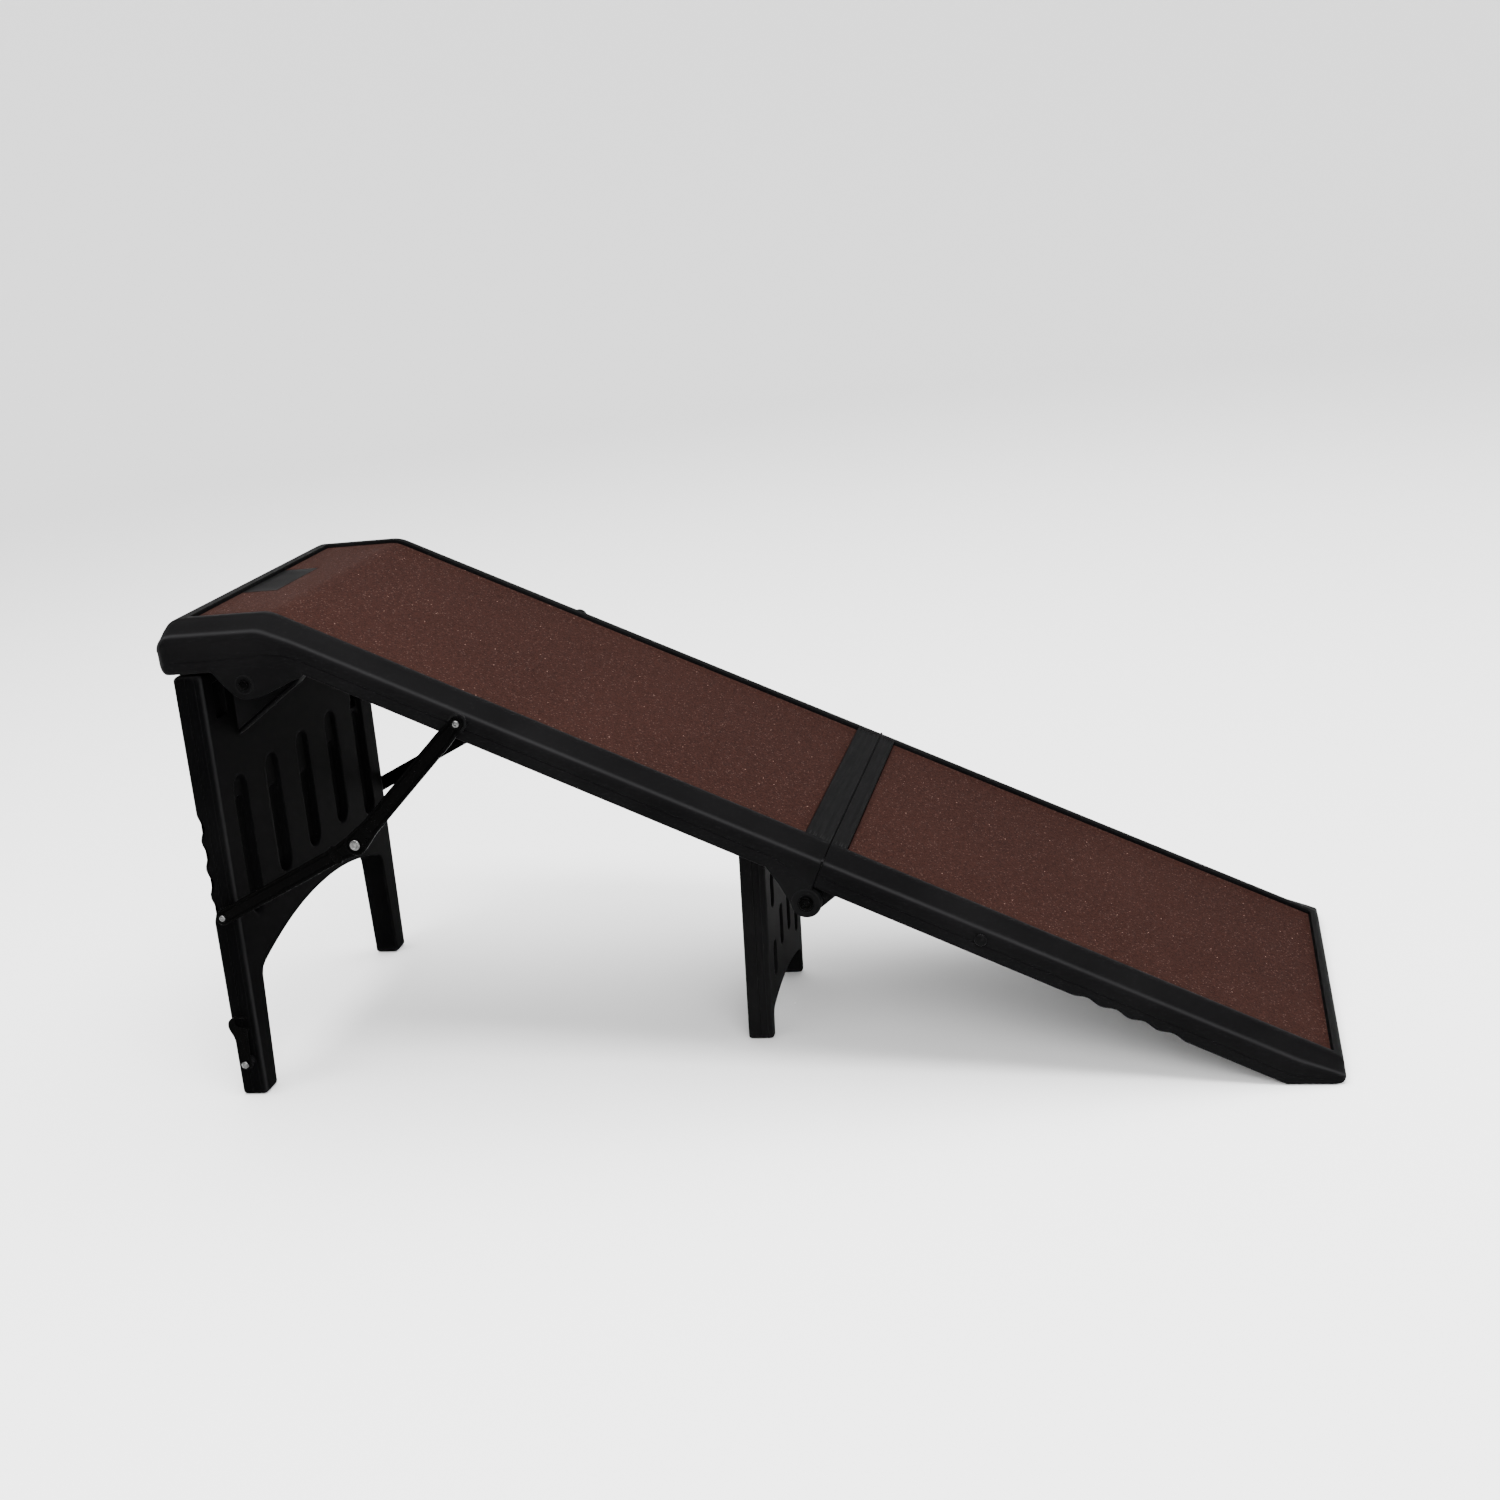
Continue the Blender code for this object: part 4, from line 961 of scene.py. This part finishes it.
for side, tag in ((-1, "near"), (1, "far")):
    lower = [
        plate(lower_link, side * 0.2370, side * 0.2396, 0.0008, RIB),
        plate(lower_tab, side * 0.2372, side * 0.2398, 0.0006),
        turned(BRACE_MID + 0.031 * to_leg, dome(0.0024, 0.2394, 0.0006), side, 24),
    ]
    build(f"brace_lower_{tag}", lower, f"lower_link_{tag}", enamel, [f"brace_lower_link_{tag}"], 35)
    upper = [
        plate(upper_link, side * 0.2400, side * 0.2427, 0.0008, RIB),
        plate(upper_tab, side * 0.2402, side * 0.2429, 0.0006),
        turned(BRACE_MID + 0.024 * to_rail, dome(0.0024, 0.2424, 0.0011), side, 24),
    ]
    build(f"brace_upper_{tag}", upper, f"upper_link_{tag}", enamel, [f"brace_upper_link_{tag}"], 35)
    build(f"mid_rivet_{tag}", [turned(BRACE_MID, dome(0.0063, 0.2428, 0.0030, 0.0034, 0.0007), side)],
          f"upper_link_{tag}", zinc, [f"brace_mid_rivet_{tag}"], 30)
    build(f"rail_bolt_{tag}", [
        turned(BRACE_RAIL, [(0.0036, 0.2205), (0.0036, 0.2430)] + dome(0.0041, 0.2430, 0.0033, 0.0018, 0.0008), side),
    ], "upper_section", zinc, [f"brace_rail_bolt_{tag}"], 30)
    build(f"rail_washer_{tag}", [turned(BRACE_RAIL, WASHER + np.array([0.0004, 0.0030]), side)],
          "upper_section", enamel)
    build(f"leg_bolt_{tag}", [
        turned(BRACE_LEG, [(0.0034, 0.2110), (0.0034, 0.2400)] + dome(0.0038, 0.2400, 0.0030, 0.0016, 0.0008), side),
    ], "tall_leg", zinc, [f"brace_leg_bolt_{tag}"], 30)
    build(f"leg_washer_{tag}", [turned(BRACE_LEG, WASHER, side)], "tall_leg", enamel)
    build(f"rod_cap_{tag}", [
        turned(TALL_PIVOT, dome(0.0058, 0.2364, 0.0028, 0.0020, 0.0006), side, 72, 9, 0.06),
    ], "upper_section", enamel, [f"tall_leg_rod_cap_{tag}"], 30)
    build(f"hinge_bolt_{tag}", [
        turned(HINGE, [(0.0049, 0.2035), (0.0049, 0.2358)] + dome(0.0078, 0.2358, 0.0036, 0.0050, 0.0014), side, 60),
    ], "upper_section", enamel, [f"deck_hinge_bolt_{tag}"], 30)

HOOK = np.array([
    (0.0, -0.0070), (0.0050, -0.0050), (0.0070, 0.0), (0.0078, 0.015), (0.0085, 0.030), (0.0098, 0.0395),
    (0.0122, 0.0455), (0.0080, 0.0474), (0.0020, 0.0472), (-0.0022, 0.0495), (-0.0032, 0.0530), (-0.0018, 0.0568),
    (0.0020, 0.0584), (0.0075, 0.0580), (0.0118, 0.0574), (0.0116, 0.0604), (0.0060, 0.0618), (0.0005, 0.0614),
    (-0.0052, 0.0594), (-0.0096, 0.0568), (-0.0122, 0.0530), (-0.0128, 0.0485), (-0.0120, 0.0440),
    (-0.0098, 0.0392), (-0.0078, 0.0345), (-0.0066, 0.0265), (-0.0070, 0.0150), (-0.0070, 0.0), (-0.0050, -0.0050),
]) + np.array(LATCH_PIVOT)
build("latch_plate", [plate(rounded(HOOK, 2), -0.2375, -0.2401, 0.0007, [(0.0016, 0.0), (0.0019, 0.0004)])],
      "latch", enamel, ["latch_hook"], 35)
build("latch_rivet_head", [
    turned(LATCH_PIVOT, [(0.0029, 0.2145), (0.0029, 0.2402)] + dome(0.0044, 0.2402, 0.0026, 0.0018, 0.0005), -1),
], "tall_leg", zinc, ["latch_rivet"], 30)
build("catch_peg", [turned(PEG, [
    (0.0039, 0.2205), (0.0039, 0.2360), (0.0040, 0.2405), (0.0052, 0.2410), (0.0064, 0.2413), (0.0066, 0.2421),
    (0.0062, 0.2430), (0.0050, 0.2438), (0.0030, 0.2441), (0.0001, 0.2442),
], -1, 48)], "lower_section", small_plastic, ["latch_peg"], 30)

KEPT = {
    "tall_leg_hinge_rod": zinc, "mid_leg_hinge_rod": zinc, "latch_spacer": small_plastic,
    **{f"deck_hinge_nut_{t}": zinc for t in ("near", "far")},
    **{f"brace_rail_bush_{t}": small_plastic for t in ("near", "far")},
    **{f"brace_leg_spacer_{t}": small_plastic for t in ("near", "far")},
}
for name, material in KEPT.items():
    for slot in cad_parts[name].material_slots:
        slot.link = "OBJECT"
        slot.material = material


# ---- floor, light and camera ----

def studio_floor():
    """A round floor that curves up into a backdrop on every side: a profile of a flat disc, a quarter circle of
    radius 2.5 m and a wall, turned about the vertical."""
    a = np.radians(np.linspace(0, 90, 20))
    disc, start, radius, wall_top = [0.001, 0.5, 1.5, 3.0, 4.5], 6.0, 2.5, 4.2
    r = np.concatenate([disc, start + radius * np.sin(a), [start + radius]])
    z = np.concatenate([[0.0] * len(disc), radius - radius * np.cos(a), [wall_top]])
    turn = np.linspace(0, 2 * math.pi, 72, endpoint=False)
    below_feet = 0.0006
    height = np.broadcast_to(z[:, None], (len(r), len(turn))) - below_feet
    points = np.stack([r[:, None] * np.cos(turn), r[:, None] * np.sin(turn), height], axis=-1)
    points, faces = grid(points, wrap=True, caps=False)
    mesh = bpy.data.meshes.new("studio_floor")
    mesh.from_pydata(points.tolist(), [], faces)
    mesh.shade_smooth()
    obj = bpy.data.objects.new("studio_floor", mesh)
    bpy.context.scene.collection.objects.link(obj)
    s = Shade("floor_shade")
    mesh.materials.append(s.finish(rgb(0.93, 0.93, 0.93), 0.9, Specular_IOR_Level=0.1))


def area_light(name, place, aim, size, power):
    """A white rectangular light of a size in metres and a power in watts, turned to face a point."""
    data = bpy.data.lights.new(name, "AREA")
    data.shape, data.size, data.size_y, data.energy = "RECTANGLE", size[0], size[1], power
    obj = bpy.data.objects.new(name, data)
    bpy.context.scene.collection.objects.link(obj)
    obj.location = place
    obj.rotation_mode = "QUATERNION"
    way = np.array(aim) - np.array(place)
    obj.rotation_quaternion = Vector(way.tolist()).to_track_quat("-Z", "Y")


studio_floor()
area_light("strip_light", (-0.1, -1.1, 3.0), (0.0, -0.2, 0.3), (3.4, 0.6), 150)
area_light("top_light", (0.2, 0.8, 4.0), (0.0, 0.0, 0.3), (5.0, 4.0), 330)
area_light("front_light", (1.6, -3.6, 2.4), (0.1, 0.0, 0.3), (2.4, 1.6), 160)

world = bpy.data.worlds.new("studio_world")
world.use_nodes = True
sky = world.node_tree.nodes["Background"].inputs
sky["Color"].default_value = (1.0, 1.0, 1.0, 1.0)
sky["Strength"].default_value = 1.6
bpy.context.scene.world = world


FRAME_WIDTH, SENSOR_WIDTH = 1500, 36.0


def camera(place, yaw, pitch, roll, focal, centre):
    """A camera from its place, its turn from +Y, its tilt and roll in degrees, and its focal length and centre as
    parts of FRAME_WIDTH."""
    yaw, pitch, roll = map(math.radians, (yaw, pitch, roll))
    look = np.array([math.sin(yaw) * math.cos(pitch), math.cos(yaw) * math.cos(pitch), math.sin(pitch)])
    right = np.array([math.cos(yaw), -math.sin(yaw), 0.0])
    up = np.cross(right, look)
    across = math.cos(roll) * right + math.sin(roll) * up
    above = -math.sin(roll) * right + math.cos(roll) * up
    data = bpy.data.cameras.new("camera")
    data.sensor_width = SENSOR_WIDTH
    data.lens = focal * SENSOR_WIDTH / FRAME_WIDTH
    data.shift_x = (FRAME_WIDTH / 2 - centre[0]) / FRAME_WIDTH
    data.shift_y = (centre[1] - FRAME_WIDTH / 2) / FRAME_WIDTH
    data.clip_end = 100
    obj = bpy.data.objects.new("camera", data)
    bpy.context.scene.collection.objects.link(obj)
    turn = Matrix((across, above, -look)).transposed().to_4x4()
    turn.translation = place
    obj.matrix_world = turn
    bpy.context.scene.camera = obj


camera((0.5008, -2.194, 0.9826), -14.056, -15.898, -7.001, 2010.0, (723.2, 737.6))
